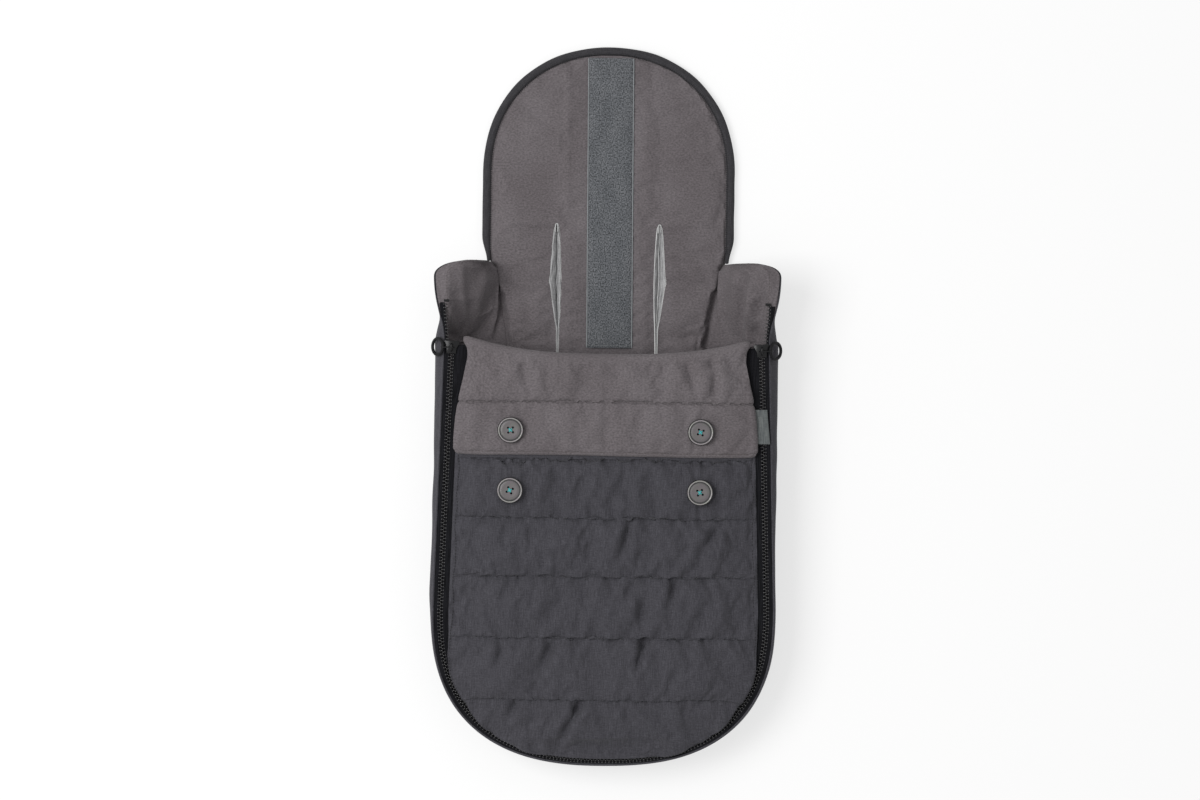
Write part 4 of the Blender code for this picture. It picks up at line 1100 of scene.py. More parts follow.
        near = (beside > -inner - self.facing - 1 * MM) & (beside < outer + self.facing + 1 * MM)
        pinned |= near & (y > self.slot_foot)
        pinned[[0, -1]] = True
        fleece.relax(pinned, self.drape)
        fleece = fleece.refined()
        fleece.raise_by(pressed(fleece.grid[..., 0], fleece.grid[..., 1], self.creases))
        fleece.grid[..., 2] = np.maximum(fleece.grid[..., 2], self.least_height)
        under = fleece.grid.copy()
        under[..., 2] = self.underside
        pad = fleece.thick("back_fleece_pad", under, 0)
        hand_over(pad, FLEECE, "bag", ("back_lining", "back_wadding"))


@dataclass
class HeadBinding:
    """The rolled cloth edge round the head panel, narrowing into the wings' corners."""

    needlework: Needlework
    width: float = 9.6 * MM
    lift: float = 0.3 * MM
    seam_inset: float = 0.9 * MM
    seam_height: float = 8.6 * MM

    def path(self, inset: float, height: float) -> np.ndarray:
        """A line along the head's edge from the right wing to the left, drawn in by the inset."""
        half, depth = PLAN.head_half - inset, PLAN.head_depth - inset
        angle = np.linspace(0, math.pi, 121)
        x, y = PLAN.superellipse(half, depth, PLAN.head_roundness, angle)
        arch = np.stack([x, PLAN.arch_y + y], -1)
        straight = np.linspace(PLAN.wing_y + 0.6 * MM, PLAN.arch_y, 38, endpoint=False)
        right = np.stack([np.full_like(straight, half), straight], -1)
        line = np.concatenate([right, arch, right[::-1] * (-1, 1)])
        return raised(line, height)

    def build(self) -> None:
        """Makes the bead and its line of stitching."""
        radius = self.width / 2
        line = self.path(radius, self.lift + radius)
        run = np.linspace(0, 1, len(line))
        wobble = 0.3 * MM * ripple(run * 70, run * 31, 5)
        bead = sweep(line, UP, oval(radius - 0.1 * MM, radius - 0.35 * MM, 16))
        taper = 0.42 + 0.58 * smooth(np.minimum(run, 1 - run) / 0.055)
        inner = self.path(self.width, self.lift + radius)
        seat = inner + (line - inner) * taper[:, None]
        around = (bead.grid - line[:, None]) * taper[:, None, None]
        bead.grid = seat[:, None] + around * (1 + wobble[:, None, None] / radius)
        bead.grid[..., 2] = np.maximum(bead.grid[..., 2], self.lift)
        piece = tube_piece("head_edge_binding", bead)
        hand_over(piece, TRIM_CLOTH, "bag", ("head_binding",))
        seam = self.path(self.width - self.seam_inset, self.seam_height)[4:-4]
        self.needlework.overlock("bag", seam, UP)


@dataclass
class LoopStrip:
    """The loop-fastener tape down the middle of the head panel, with its woven edges."""

    needlework: Needlework
    half: float = 25 * MM
    foot: float = 447 * MM
    head_inset: float = 12 * MM
    thickness: float = 2.0 * MM
    selvedge: float = 1.6 * MM
    drift: tuple[float, float] = (2.7 * MM, 1.0 * MM)

    def build(self) -> None:
        """Makes the pile, its flat woven edges and the stitches that hold them."""
        low, high = PLAN.foot_y + self.foot, PLAN.length / 2 - self.head_inset
        y = np.linspace(low, high, 110)
        share = np.sin(np.linspace(-math.pi / 2, math.pi / 2, 19))
        inner = self.half - self.selvedge
        x, rows = np.meshgrid(share * inner, y)
        aside = mix(*self.drift, (y - low) / (high - low))
        sag = 0.35 * MM * ripple(x / (16 * MM), rows / (38 * MM), 8)
        edge = np.abs(share[None, :]) ** 8
        base = PLAN.panel_top + 0.35 * MM
        top = base + self.thickness + sag - 1.1 * MM * edge
        pile = Cloth(np.stack([x + aside[:, None], rows, top], -1))
        under = pile.grid.copy()
        under[..., 2] = base
        piece = pile.thick("loop_pile", under)
        hand_over(piece, LOOP_TAPE, "bag", ("loop_strip",))
        line = np.stack([aside, y, np.full_like(y, base + 0.75 * MM)], -1)
        for word, side in SIDES:
            middle = line + (side * (self.half - self.selvedge / 2), 0, 0)
            ribbon = sweep(middle, UP, oval(self.selvedge / 2, 0.55 * MM, 8))
            hand_over(tube_piece("loop_edge_" + word, ribbon), SELVEDGE, "bag")
        across = np.stack([share * inner + self.drift[0], np.full_like(share, low + 3 * MM)], -1)
        self.needlework.sew("bag", raised(across, base + self.thickness), UP, GREY_THREAD)


@dataclass
class HarnessSlots:
    """Two slots through the back for the harness, faced with crumpled satin.

    Attributes:
        panel: the back panel that the slots go through.
        funnel: for each level of the satin's funnel, how far it reaches over the slot's edge in
            millimetres, its share of the slot's width, and its height over the panel in millimetres.
    """

    panel: BackPanel
    funnel: tuple = (
        (0.8, 1.0, -2.2),
        (0.64, 1.0, -0.9),
        (0.16, 1.0, -0.5),
        (-0.1, 0.92, -1.0),
        (-0.1, 0.72, -1.9),
        (0.0, 0.5, -2.8),
        (0.0, 0.3, -4.4),
        (0.0, 0.12, -6.6),
        (0.0, 0.02, -9.2),
    )

    def outline(self, side: int, grow: float, squeeze: float = 1.0) -> np.ndarray:
        """Points round a slot, grown outwards or squeezed towards its middle."""
        y = self.panel.slot_foot + self.panel.slot_length * np.linspace(0.004, 0.996, 96)
        inner, outer = self.panel.slot_edges(y)
        middle = (outer - inner) / 2 - 0.1 * (inner + outer) * (1 - squeeze)
        half = np.maximum((inner + outer) / 2 * squeeze, 0.05 * MM) + grow
        away = np.stack([middle + half, y], -1)
        towards = np.stack([middle - half, y], -1)
        line = np.concatenate([away, towards[::-1]])
        line[:, 0] = side * (line[:, 0] + self.panel.slot_spacing / 2)
        return line

    def build(self) -> None:
        """Makes each slot's satin funnel and the loop at its head end."""
        for word, side in SIDES:
            rings = []
            for number, (grow, squeeze, depth) in enumerate(self.funnel):
                line = self.outline(side, grow * MM, squeeze)
                crumple = ripple(line[:, 1] / (3.2 * MM), line[:, 0] / (2 * MM), 20 + number // 2)
                loose = (0.15 if number < 3 else 0.5) * MM
                room = np.minimum(1, self.panel.slot_width(line[:, 1]) / (8 * MM))
                line[:, 0] += loose * crumple * room
                rings.append(raised(line, PLAN.panel_top + depth * MM + loose * crumple * room))
            sheet = Cloth(np.array(rings)[:, list(range(len(rings[0]))) + [0]])
            sheet.uv = sheet.uv[..., ::-1].copy()
            piece = sheet.thick("slot_satin_" + word, sheet.offset(0.4 * MM), 1)
            hand_over(piece, SATIN, "bag", ("slot_facing_" + word,))
            self.piping(word, side)
            self.tack(word, side)

    def piping(self, word: str, side: int) -> None:
        """The folded edge of the satin, drawn in a paler copy of the satin as a painted highlight round
        the slot.
        """
        line = self.outline(side, 0.4 * MM)
        crumple = ripple(line[:, 1] / (4 * MM), line[:, 0] / (4 * MM), 27)
        line[:, 0] += 0.2 * MM * crumple
        path = raised(line, PLAN.panel_top - 0.6 * MM + 0.2 * MM * crumple)
        rib = sweep(path, UP, oval(0.4 * MM, 0.4 * MM, 8), closed=True)
        hand_over(tube_piece("slot_edge_" + word, rib, capped=False), SATIN_PAINTED_HIGHLIGHT, "bag")

    def tack(self, word: str, side: int) -> None:
        """The short satin loop that closes a slot's head end."""
        head = self.panel.slot_foot + self.panel.slot_length
        angle = np.linspace(0, math.pi, 9)
        reach = 1.4 * MM
        arc = np.stack([reach * np.cos(angle), reach * np.sin(angle) - 1.6 * MM], -1)
        legs = np.array([(reach, -10 * MM), (reach, -6 * MM)])
        line = np.concatenate([legs, arc, legs[::-1] * (-1, 1)])
        middle = np.stack([line[:, 0] + side * self.panel.slot_spacing / 2, line[:, 1] + head], -1)
        loop = sweep(raised(middle, PLAN.panel_top + 0.5 * MM), UP, oval(0.75 * MM, 0.6 * MM, 8))
        piece = tube_piece("slot_loop_" + word, loop)
        # The loop takes the paler copy of the satin, a painted highlight.
        hand_over(piece, SATIN_PAINTED_HIGHLIGHT, "bag", ("slot_bartack_" + word,))


@dataclass
class Walls:
    """The gusset round the bag and its two open wings: outer cloth and padded fleece."""

    needlework: Needlework
    floor_share: float = 0.27
    shoulder_share: tuple[float, float] = (0.71, 0.5)
    bulge_share: float = 0.07
    wing_shoulder: float = 4 * MM
    wing_foot: float = 0.9
    flopped_shoulder: tuple[float, float] = (44 * MM, 34 * MM)
    flopped_share: float = 0.99
    flopped_run: float = 84 * MM
    lean: float = 1.25
    floor: float = 0.3 * MM
    depth: float = 10.0 * MM
    hem: float = 1.6 * MM
    outer_thickness: float = 1.1 * MM
    pad_back: float = 1.35 * MM
    pad_share: float = 0.985
    stitched_length: float = 62 * MM
    bulges: tuple = ((-1, -196, 42, 3.2), (-1, -110, 16, 1.6), (1, -152, 40, -1.6), (1, -96, 24, 1.0))
    drape: Drape = Drape(0.03, 0.2, 0.8, 16, 4 * MM)
    corners: tuple[float, float] = (19 * MM, 12 * MM)
    folds: tuple = (
        (-130, 138, -142, 96, 3.0, 6),
        (-156, 152, -150, 70, 2.0, 4),
        (154, 134, 152, 56, 9.0, 4.6),
        (138, 140, 139, 70, 5.0, 8),
        (166, 152, 162, 112, 2.2, 5),
        (150, 156, 148, 128, 2.0, 5),
    )

    def curl(self, points: np.ndarray, rows: np.ndarray) -> np.ndarray:
        """Bends each wing's outer corner inwards, so that it is round when seen from above."""
        x, y = points[..., 0], points[..., 1]
        radius = np.where(x < 0, *self.corners)
        near = np.clip(1 - (PLAN.wing_y - y) / radius, 0, 1)
        inward = radius * (1 - np.sqrt(1 - 0.97 * near**2)) * smooth((rows - 0.25) / 0.6)
        points[..., 0] = x - np.sign(x) * inward
        return points

    def stations(self) -> dict[str, np.ndarray]:
        """Sections from the left wing's end, round the foot, to the right wing's end."""
        y = np.concatenate(
            [
                PLAN.foot_centre_y + np.linspace(0.012, 1, 46) * (PLAN.seat_y - PLAN.foot_centre_y),
                PLAN.seat_y + np.linspace(0.03, 1, 34) * (PLAN.wing_y - PLAN.seat_y),
            ]
        )
        v = PLAN.to_v(y)
        half = PLAN.silhouette_x(y)
        rim = half - (PLAN.chain_x(v) + PLAN.rim_offset + PLAN.rim_flare(v))
        corner = np.clip((y - (PLAN.wing_y - PLAN.wing_corner)) / PLAN.wing_corner, 0, 1)
        drop = PLAN.wing_corner * (1 - np.sqrt(1 - corner**2))
        openness = smooth((y - PLAN.seat_y) / (PLAN.wing_y - PLAN.seat_y))
        side = {
            "outer": np.stack([half, y], -1),
            "seam": np.stack([PLAN.seam_x(y) + PLAN.gap, y], -1),
            "rim": rim,
            "open": openness,
            "drop": drop,
        }
        angle = np.linspace(0, math.pi, 61)
        x, dy = PLAN.superellipse(PLAN.foot_half, PLAN.foot_depth, PLAN.roundness, -angle)
        outer = np.stack([x, PLAN.foot_centre_y + dy], -1)
        depth = PLAN.foot_depth - PLAN.foot_seam_inset + PLAN.gap
        x, dy = PLAN.superellipse(PLAN.seam_foot + PLAN.gap, depth, PLAN.roundness, -angle)
        around = np.sin(angle)
        rim = mix(PLAN.foot_half - PLAN.chain_foot, PLAN.chain_foot_inset, around)
        rim -= mix(PLAN.rim_offset, PLAN.foot_rim_offset, around)
        foot = {
            "outer": outer,
            "seam": np.stack([x, PLAN.foot_centre_y + dy], -1),
            "rim": rim,
            "open": np.zeros_like(angle),
            "drop": np.zeros_like(angle),
        }
        joined = {}
        for key, value in side.items():
            mirror = value * (-1, 1) if value.ndim == 2 else value
            joined[key] = np.concatenate([value[::-1], foot[key], mirror])
        return joined

    def surface(self, at: dict[str, np.ndarray], rows: np.ndarray, offset: np.ndarray) -> np.ndarray:
        """Points on the wall at a depth under its outer face, for each station and row."""
        inward = at["seam"] - at["outer"]
        depth = np.linalg.norm(inward, axis=1, keepdims=True)
        inward = inward / depth
        height = (PLAN.plane_height(at["outer"][:, 1]) - 0.7 * MM)[:, None]
        openness = at["open"][:, None]
        left = at["outer"][:, :1] < 0
        lying = smooth((at["outer"][:, 1:] - PLAN.wing_y) / self.flopped_run + 1)
        flopped = np.where(left, *self.flopped_shoulder)
        rim = at["rim"][:, None] * (1 - lying)
        floor = np.full_like(depth, self.floor)
        start = np.stack([depth, floor], -1)
        near = np.stack([depth * mix(self.floor_share, self.wing_foot, openness**0.5), floor], -1)
        bulge = -(self.bulge_share * depth + rim)
        tall = height * mix(mix(*self.shoulder_share, openness), self.flopped_share, lying)
        standing = mix(bulge, self.wing_shoulder, openness)
        shoulder = np.stack([mix(standing, flopped, lying), tall], -1)
        end = np.stack([rim, height], -1)
        t = rows[None, :] * (1 - at["drop"][:, None] / (height * self.lean))
        t = t[..., None]
        s = 1 - t
        spot = s**3 * start + 3 * s * s * t * near + 3 * s * t * t * shoulder + t**3 * end
        along = s * s * (near - start) + 2 * s * t * (shoulder - near) + t * t * (end - shoulder)
        along = unit(along)
        normal = np.stack([along[..., 1], -along[..., 0]], -1)
        moved = spot + normal * offset[..., None]
        plan = at["outer"][:, None] + inward[:, None] * moved[..., :1]
        return np.concatenate([plan, moved[..., 1:]], axis=2)

    def build(self) -> None:
        """Makes the outer cloth and the padded fleece, with folds where the wings stand open."""
        at = self.stations()
        rows = np.linspace(0, 1, 26)
        y = at["outer"][:, 1][:, None]
        run = np.arange(len(y))[:, None] * 1.0
        share = np.broadcast_to(rows[None, :], (len(y), len(rows)))
        free = np.sin(math.pi * share)
        wave = 0.9 * MM * ripple(run * 0.33, share * 5, 31) * free
        wave += 0.6 * MM * ripple(run * 0.9, share * 3, 33) * free
        x = at["outer"][:, 0][:, None]
        out = np.maximum(wave, -1.2 * MM)
        for side, place, reach, height in self.bulges:
            out = out - height * MM * bell(y - place * MM, reach * MM) * free * (x * side > 0)
        outer = self.curl(self.surface(at, rows, out), rows)
        inner = self.curl(self.surface(at, rows, out + self.outer_thickness), rows)
        inward = unit(at["seam"] - at["outer"])
        closed = self.hem * (1 - smooth((y[:, 0] - PLAN.seat_y) / (50 * MM)))
        shell = Cloth(self.turned_over(outer, inward, closed, 2.2 * MM))
        piece = shell.thick("gusset_cloth", self.turned_over(inner, inward, closed, 1.7 * MM))
        hand_over(piece, SHELL_CLOTH, "bag", self.nodes("shell"))
        self.pad(at, rows, y, share, np.clip(out, 0, None))

    def nodes(self, *layers: str) -> tuple[str, ...]:
        """The CAD nodes of the given layers, in all three walls."""
        return tuple(f"{word}_wall_{layer}" for word in ("left", "foot", "right") for layer in layers)

    def turned_over(self, sheet: np.ndarray, inward: np.ndarray, reach, rise: float) -> np.ndarray:
        """The sheet with its rim turned over the zip tape by the reach, at a rise above the rim."""
        made = [sheet]
        for share, lift in ((0.08, 1.0), (1.0, 0.95)):
            fold = sheet[:, -1].copy()
            fold[:, :2] += inward * (reach * share)[:, None]
            fold[:, 2] += rise * lift
            made.append(fold[:, None])
        return np.concatenate(made, axis=1)

    def pad(self, at, rows, y, share, sunk: np.ndarray) -> None:
        """The padded fleece inside the gusset, which shows on the open wings."""
        rim = smooth((share - 0.9) / 0.1)
        foot = smooth((0.15 - share) / 0.15)
        end = smooth((y - PLAN.wing_y + 9 * MM) / (9 * MM))
        free = (1 - rim) * (1 - foot) * smooth((y - PLAN.seat_y + 30 * MM) / (30 * MM)) * (1 - end)
        offset = mix(self.depth, 3.2 * MM, np.maximum(rim, 0.8 * end))
        offset = mix(offset, 2.5 * MM, foot)
        inner = Cloth(self.curl(self.surface(at, rows * self.pad_share, offset), rows))
        pinned = np.ones(inner.grid.shape[:2], bool)
        pinned[2:-2, 2:-2] = False
        inner.relax(pinned, self.drape)
        inner = inner.refined()
        folds = pressed(inner.grid[..., 0], inner.grid[..., 1], self.folds)
        inner.raise_by(folds * doubled(doubled(free, 0), 1))
        stitch = inner.grid[:, -5] + inner.normals()[:, -5] * 0.1 * MM
        standing = stitch[:, 1] > PLAN.wing_y - self.stitched_length
        for _, side in SIDES:
            wing = standing & (stitch[:, 0] * side > 0)
            self.needlework.sew("bag", stitch[wing], inner.normals()[:, -5][wing], FLEECE_THREAD)
        back = self.curl(self.surface(at, rows * self.pad_share, sunk + self.pad_back), rows)
        piece = inner.thick("gusset_fleece_pad", doubled(doubled(back, 0), 1), 0)
        hand_over(piece, FLEECE, "bag", self.nodes("wadding", "lining"))


@dataclass
class ZipChain:
    """Both halves of the zip: woven tapes and single moulded teeth."""

    needlework: Needlework
    pitch: float = 3.7 * MM
    tooth: tuple[float, float, float] = (3.3 * MM, 4.4 * MM, 2.9 * MM)
    tooth_offset: float = 1.15 * MM
    tape_offset: float = 1.4 * MM
    tape: float = 0.8 * MM
    broad: float = 11 * MM

    def build(self) -> None:
        """Makes the tapes and the teeth."""
        top = PLAN.v_fold + PLAN.tape_beyond_fold
        mouth = PLAN.v_fold - PLAN.slider_below_fold + 3 * MM
        for word, side, end, body in (("wall", 1, top, "bag"), ("cover", -1, mouth, "cover")):
            self.tape_piece(word, side, end - PLAN.v_fold, body)
            self.teeth(word, side, end, body)

    def tape_piece(self, word: str, side: int, above: float, body: str) -> None:
        """One half's tape, from under the teeth to the edge that is sewn in."""
        spots, normals = PLAN.chain_path(above, 4 * MM)
        v = spots[:, 1]
        at_foot = PLAN.foot_share(v)
        if side > 0:
            sewn = mix(PLAN.rim_offset, PLAN.foot_rim_offset, at_foot) + PLAN.rim_flare(v)
        else:
            sewn = -mix(PLAN.cover_edge, PLAN.cover_foot_edge, at_foot) - self.tape_offset
            sewn = sewn - self.broad * smooth((v - PLAN.v_fold + 80 * MM) / (30 * MM))
        near = side * (self.tape_offset + PLAN.chain_spread(v))
        share = np.linspace(0, 1, 7)
        across = mix(near[:, None], sewn[:, None], share[None, :])
        flat = spots[:, None] + normals[:, None] * across[..., None]
        run = np.arange(len(spots))[:, None] * 1.0
        wave = 0.25 * MM * ripple(run * 0.5, share[None, :] * 4, 41) * (1 - share[None, :])
        bow = 0.5 * MM * np.sin(math.pi * share)[None, :]
        top = PLAN.world(flat[..., 0], flat[..., 1], wave + bow + self.tape / 2)
        low = PLAN.world(flat[..., 0], flat[..., 1], wave + bow - self.tape / 2)
        piece = Cloth(top).thick(word + "_zip_band", low)
        hand_over(piece, ZIP_TAPE, body, (word + "_zip_tape",))

    def teeth(self, word: str, side: int, end: float, body: str) -> None:
        """One half's teeth, each between two of the other half."""
        spots, normals = PLAN.chain_path(PLAN.tape_beyond_fold, self.pitch / 2)
        mine = np.arange(len(spots)) % 2 == (0 if side > 0 else 1)
        mine &= spots[:, 1] <= end
        spots, normals = spots[mine], normals[mine]
        offset = side * (PLAN.chain_spread(spots[:, 1]) + self.tooth_offset)
        middle = spots + normals * offset[:, None]
        places = PLAN.world(middle[:, 0], middle[:, 1], 0.0)
        along = np.gradient(spots, axis=0)
        ahead = PLAN.world(along[:, 0], along[:, 1], 0.0) - PLAN.world(0.0, 0.0, 0.0)
        row = Row(Repeat.TOOTH, self.tooth, ZIP_RESIN)
        row.spots.append(places)
        row.along.append(ahead * -side)
        row.ups.append(np.tile(PLAN.normal(), (len(places), 1)))
        piece = row.build(word + "_zip_row")
        hand_over(piece, ZIP_RESIN, body, (word + "_zip_teeth",))


@dataclass
class Slider:
    """One zip slider with its bail, wire link and ring pull."""

    word: str
    side: int
    bail_rise: float = 4.2 * MM
    top: float = 2.65 * MM
    bail_length: float = 7.0 * MM
    bail_back: float = 0.5 * MM
    bail_bend: float = 2.2 * MM
    bail_wire: float = 2.6 * MM
    link_wire: float = 1.3 * MM
    link_length: float = 9.0 * MM
    link_eye: float = 2.1 * MM
    ring_outer: float = 21 * MM
    ring_wire: float = 3.6 * MM
    ring_droop: float = math.radians(49)
    link_droop: float = math.radians(3)

    def place(self, local: np.ndarray) -> np.ndarray:
        """Points in the slider's own frame, in the row's frame."""
        v = PLAN.v_fold - PLAN.slider_below_fold
        run = PLAN.v_fold - PLAN.v_centre
        slant = self.side * math.atan2(PLAN.chain_foot - PLAN.chain_fold, run)
        cos, sin = math.cos(slant), math.sin(slant)
        x = self.side * PLAN.chain_x(v) + local[:, 0] * cos - local[:, 1] * sin
        return PLAN.world(x, v + local[:, 0] * sin + local[:, 1] * cos, local[:, 2])

    def outward(self, droop: float) -> np.ndarray:
        """The direction away from the bag that falls by the given angle."""
        return np.array([self.side * math.cos(droop), 0, -math.sin(droop)])

    def wire(self, name: str, local: np.ndarray, thickness: float, closed: bool, up) -> bpy.types.Object:
        """A round wire through points of the slider's frame."""
        path = self.place(local)
        origin = self.place(np.zeros((1, 3)))
        ups = self.place(np.array([up]))[0] - origin[0]
        section = oval(thickness / 2, thickness / 2, 10)
        return tube_piece(name, sweep(path, ups, section, closed), not closed)

    def build(self) -> None:
        """Makes the four pieces."""
        slider, ring = "slider_" + self.word, "ring_" + self.word
        hinge = np.array([0.0, -self.bail_back, self.top + self.bail_rise])
        self.body(slider)
        self.bail(slider, hinge)
        self.pull_link(ring, hinge)
        self.pull_ring(ring, hinge)

    def bail(self, body: str, hinge: np.ndarray) -> None:
        """The bridge on the slider that the link hangs from."""
        half, bend = self.bail_length / 2, self.bail_bend
        angle = np.linspace(0, math.pi / 2, 5)
        rise = np.stack([-half + bend * (1 - np.cos(angle)), hinge[2] - bend * (1 - np.sin(angle))], -1)
        side = np.concatenate([[(-half, self.top + 0.1 * MM)], rise])
        line = np.concatenate([side, side[::-1] * (-1, 1)])
        local = np.stack([np.zeros(len(line)), line[:, 0] + hinge[1], line[:, 1]], -1)
        piece = self.wire("bail_wire_" + self.word, local, self.bail_wire, False, (1, 0, 0))
        hand_over(piece, ZINC, body, ("bail_" + self.word,))

    def pull_link(self, body: str, hinge: np.ndarray) -> None:
        """The long wire link through the bail."""
        across = self.outward(self.link_droop)
        lift = np.array([self.side * math.sin(self.link_droop), 0, math.cos(self.link_droop)])
        radius = self.link_eye + self.link_wire / 2
        loop = []
        for centre, turn in ((0.0, math.pi / 2), (self.link_length, -math.pi / 2)):
            angle = turn + np.linspace(0, math.pi, 11)
            out = across * (centre + radius * np.cos(angle))[:, None]
            loop.append(hinge + out + lift * (radius * np.sin(angle))[:, None])
        local = np.concatenate(loop)
        piece = self.wire("wire_link_" + self.word, local, self.link_wire, True, (0, 1, 0))
        hand_over(piece, ZINC, body, ("pull_link_" + self.word,))

    def pull_ring(self, body: str, hinge: np.ndarray) -> None:
        """The ring that hangs in the link's far end."""
        major = (self.ring_outer - self.ring_wire) / 2
        hang = self.outward(self.ring_droop)
        centre = hinge + self.outward(self.link_droop) * self.link_length + hang * major
        angle = np.linspace(0, 2 * math.pi, 40, endpoint=False)
        local = centre + hang * (major * np.cos(angle))[:, None]
        local = local + np.array([0, 1.0, 0]) * (major * np.sin(angle))[:, None]
        facing = np.cross(hang, (0, 1, 0))
        piece = self.wire("pull_ring_" + self.word, local, self.ring_wire, True, facing)
        hand_over(piece, RUBBER, body, ("ring_pull_" + self.word,))

    def body(self, name: str) -> None:
        """The cast slider: the CAD solid's faces welded and its edges rounded."""
        mesh = bpy.context.scene.objects[name].data.copy()
        solid = bmesh.new()
        solid.from_mesh(mesh)
        bmesh.ops.remove_doubles(solid, verts=solid.verts, dist=1e-6)
        flat = math.radians(2)
        bmesh.ops.dissolve_limit(solid, angle_limit=flat, verts=solid.verts, edges=solid.edges)
        bmesh.ops.recalc_face_normals(solid, faces=solid.faces)
        solid.to_mesh(mesh)
        solid.free()
        obj = link(bpy.data.objects.new("cast_slider_" + self.word, mesh))
        edge = obj.modifiers.new("edges", "BEVEL")
        edge.width = 0.28 * MM
        edge.segments = 2
        edge.limit_method = "ANGLE"
        obj = baked(obj)
        obj.data.shade_smooth()
        obj.data.set_sharp_from_angle(angle=math.radians(50))
        hand_over(obj, ZINC, name, (name,))


@dataclass
class QuiltedCover:
    """The zipped cover: quilted cloth over padding, fleece below."""

    needlework: Needlework
    crown: float = 9 * MM
    lining_crown: float = 3.5 * MM
    puff: float = 7 * MM
    line_places: tuple = (72.4, 138.2, 203.6, 266.2, 328.8)
    tip_fade: float = 45 * MM
    edge_top: float = 1.7 * MM
    fold_dip: float = 12.6 * MM
    fold_rise: tuple[float, float] = (19.0 * MM, 17.0 * MM)
    roundness: float = 2.66
    overhang: float = 5.4 * MM
    overhang_run: float = 3.2 * MM
    lining_thickness: float = 2.2 * MM
    sewn_share: float = 0.985
    tip_hold: float = 7 * MM
    button_hold: float = 3 * MM
    drape: Drape = Drape(0.045, 1.2, 0.4, 20, 5 * MM)
    creases: tuple = (
        (22, -89, 29, -115, 2.5, 4),
        (-25, -77, -31, -104, 3.0, 8),
        (42, -76, 51, -96, 2.3, 8),
        (-85, -74, -74, -94, 1.8, 5),
        (-56, -71, -35, -98, 2.1, 6),
        (-10, -73, -24, -110, -1.4, 6),
        (28, -122, 18, -167, 5.8, 4.4),
        (121, -130, 102, -160, 5.1, 4.8),
        (90, -148, 74, -172, 2.8, 5),
        (-15, -147, -22, -167, 2.1, 5),
        (49, -135, 25, -167, -1.6, 7),
        (-20, -188, -17, -229, 3.9, 4.8),
        (33, -187, 22, -210, 4.4, 4.8),
        (77, -186, 70, -219, 5.5, 4.6),
        (44, -209, 37, -242, 2.3, 5),
        (-98, -189, -110, -212, 2.3, 5),
        (-61, -211, -79, -231, -1.4, 7),
        (38, -205, 19, -234, -1.6, 7),
        (45, -249, 35, -287, 6.4, 4.4),
        (-53, -252, -68, -288, 5.3, 4.8),
        (-106, -258, -115, -284, 4.8, 4.8),
        (-29, -270, -33, -297, 2.1, 6),
        (-36, -268, -62, -297, -1.4, 8),
        (-23, -318, -47, -364, 7.1, 4.6),
        (-91, -319, -103, -338, 5.1, 4.8),
        (-69, -335, -96, -355, 2.5, 6),
        (55, -319, 77, -350, 2.3, 7),
        (-3, -335, 11, -346, 1.8, 8),
    )

    def quilt_lines(self) -> np.ndarray:
        """The stitched lines across the cover, up the zip plane."""
        return PLAN.to_v(PLAN.foot_y + np.array(self.line_places) * MM)

    def pillow(self, share):
        """The padding's rise across the cover."""
        return (1 - np.minimum(np.abs(share), 1.0) ** 3.2) ** 0.6

    def swell(self, v):
        """The padding's rise between two quilted lines, as a share."""
        lines = np.concatenate([[PLAN.v_tip], self.quilt_lines()])
        place = np.clip(np.searchsorted(lines, v, side="right") - 1, 0, len(lines) - 2)
        low, high = lines[place], lines[place + 1]
        share = np.clip(np.abs(2 * (v - low) / (high - low) - 1), 0, 1)
        return np.where(v >= lines[-1], 0.0, (1 - share**2.6) ** 0.8)

    def top(self, share, v, fullness: float = 1.0):
        """The cover's outer face over the zip plane, as the CAD solid has it."""
        fade = smooth((v - PLAN.v_tip) / self.tip_fade)
        puff = self.puff * fullness * self.swell(v) * np.minimum(1.0, 2 * fade)
        return self.edge_top + (self.crown * fade + puff) * self.pillow(share)

    def lining_top(self, share, v):
        """The lining's upper face over the zip plane."""
        fade = smooth((v - PLAN.v_tip) / self.tip_fade)
        return -0.9 * MM + self.lining_crown * fade * self.pillow(share)

    def half(self, v):
        """Half the width of the cover's cloth, which comes close to the teeth round the foot."""
        run = np.clip((PLAN.v_centre - v) / (PLAN.chain_depth - PLAN.cover_foot_edge), 0, 1)
        round_end = (1 - run**self.roundness) ** (1 / self.roundness)
        widest = PLAN.cover_half(PLAN.v_centre)
        half = np.where(v >= PLAN.v_centre, PLAN.cover_half(v), widest * round_end)
        return half - 11.5 * MM * smooth((v - PLAN.v_fold + 92 * MM) / (40 * MM))

    def edge(self, x, v) -> tuple[np.ndarray, np.ndarray]:
        """How far points lie inside the round foot's edge, and the way out of it in the zip plane."""
        wide, deep = PLAN.cover_half(PLAN.v_centre), PLAN.chain_depth - PLAN.cover_foot_edge
        across, run = np.abs(x) / wide, np.clip((PLAN.v_centre - v) / deep, 0, 1)
        n = self.roundness
        out = np.stack([n * across ** (n - 1) / wide * np.sign(x), -n * run ** (n - 1) / deep], -1)
        steep = np.linalg.norm(out, axis=-1, keepdims=True) + 0.5
        inside = (1 - across**n - run**n) / steep[..., 0]
        return np.clip(inside, 0, None), out / steep

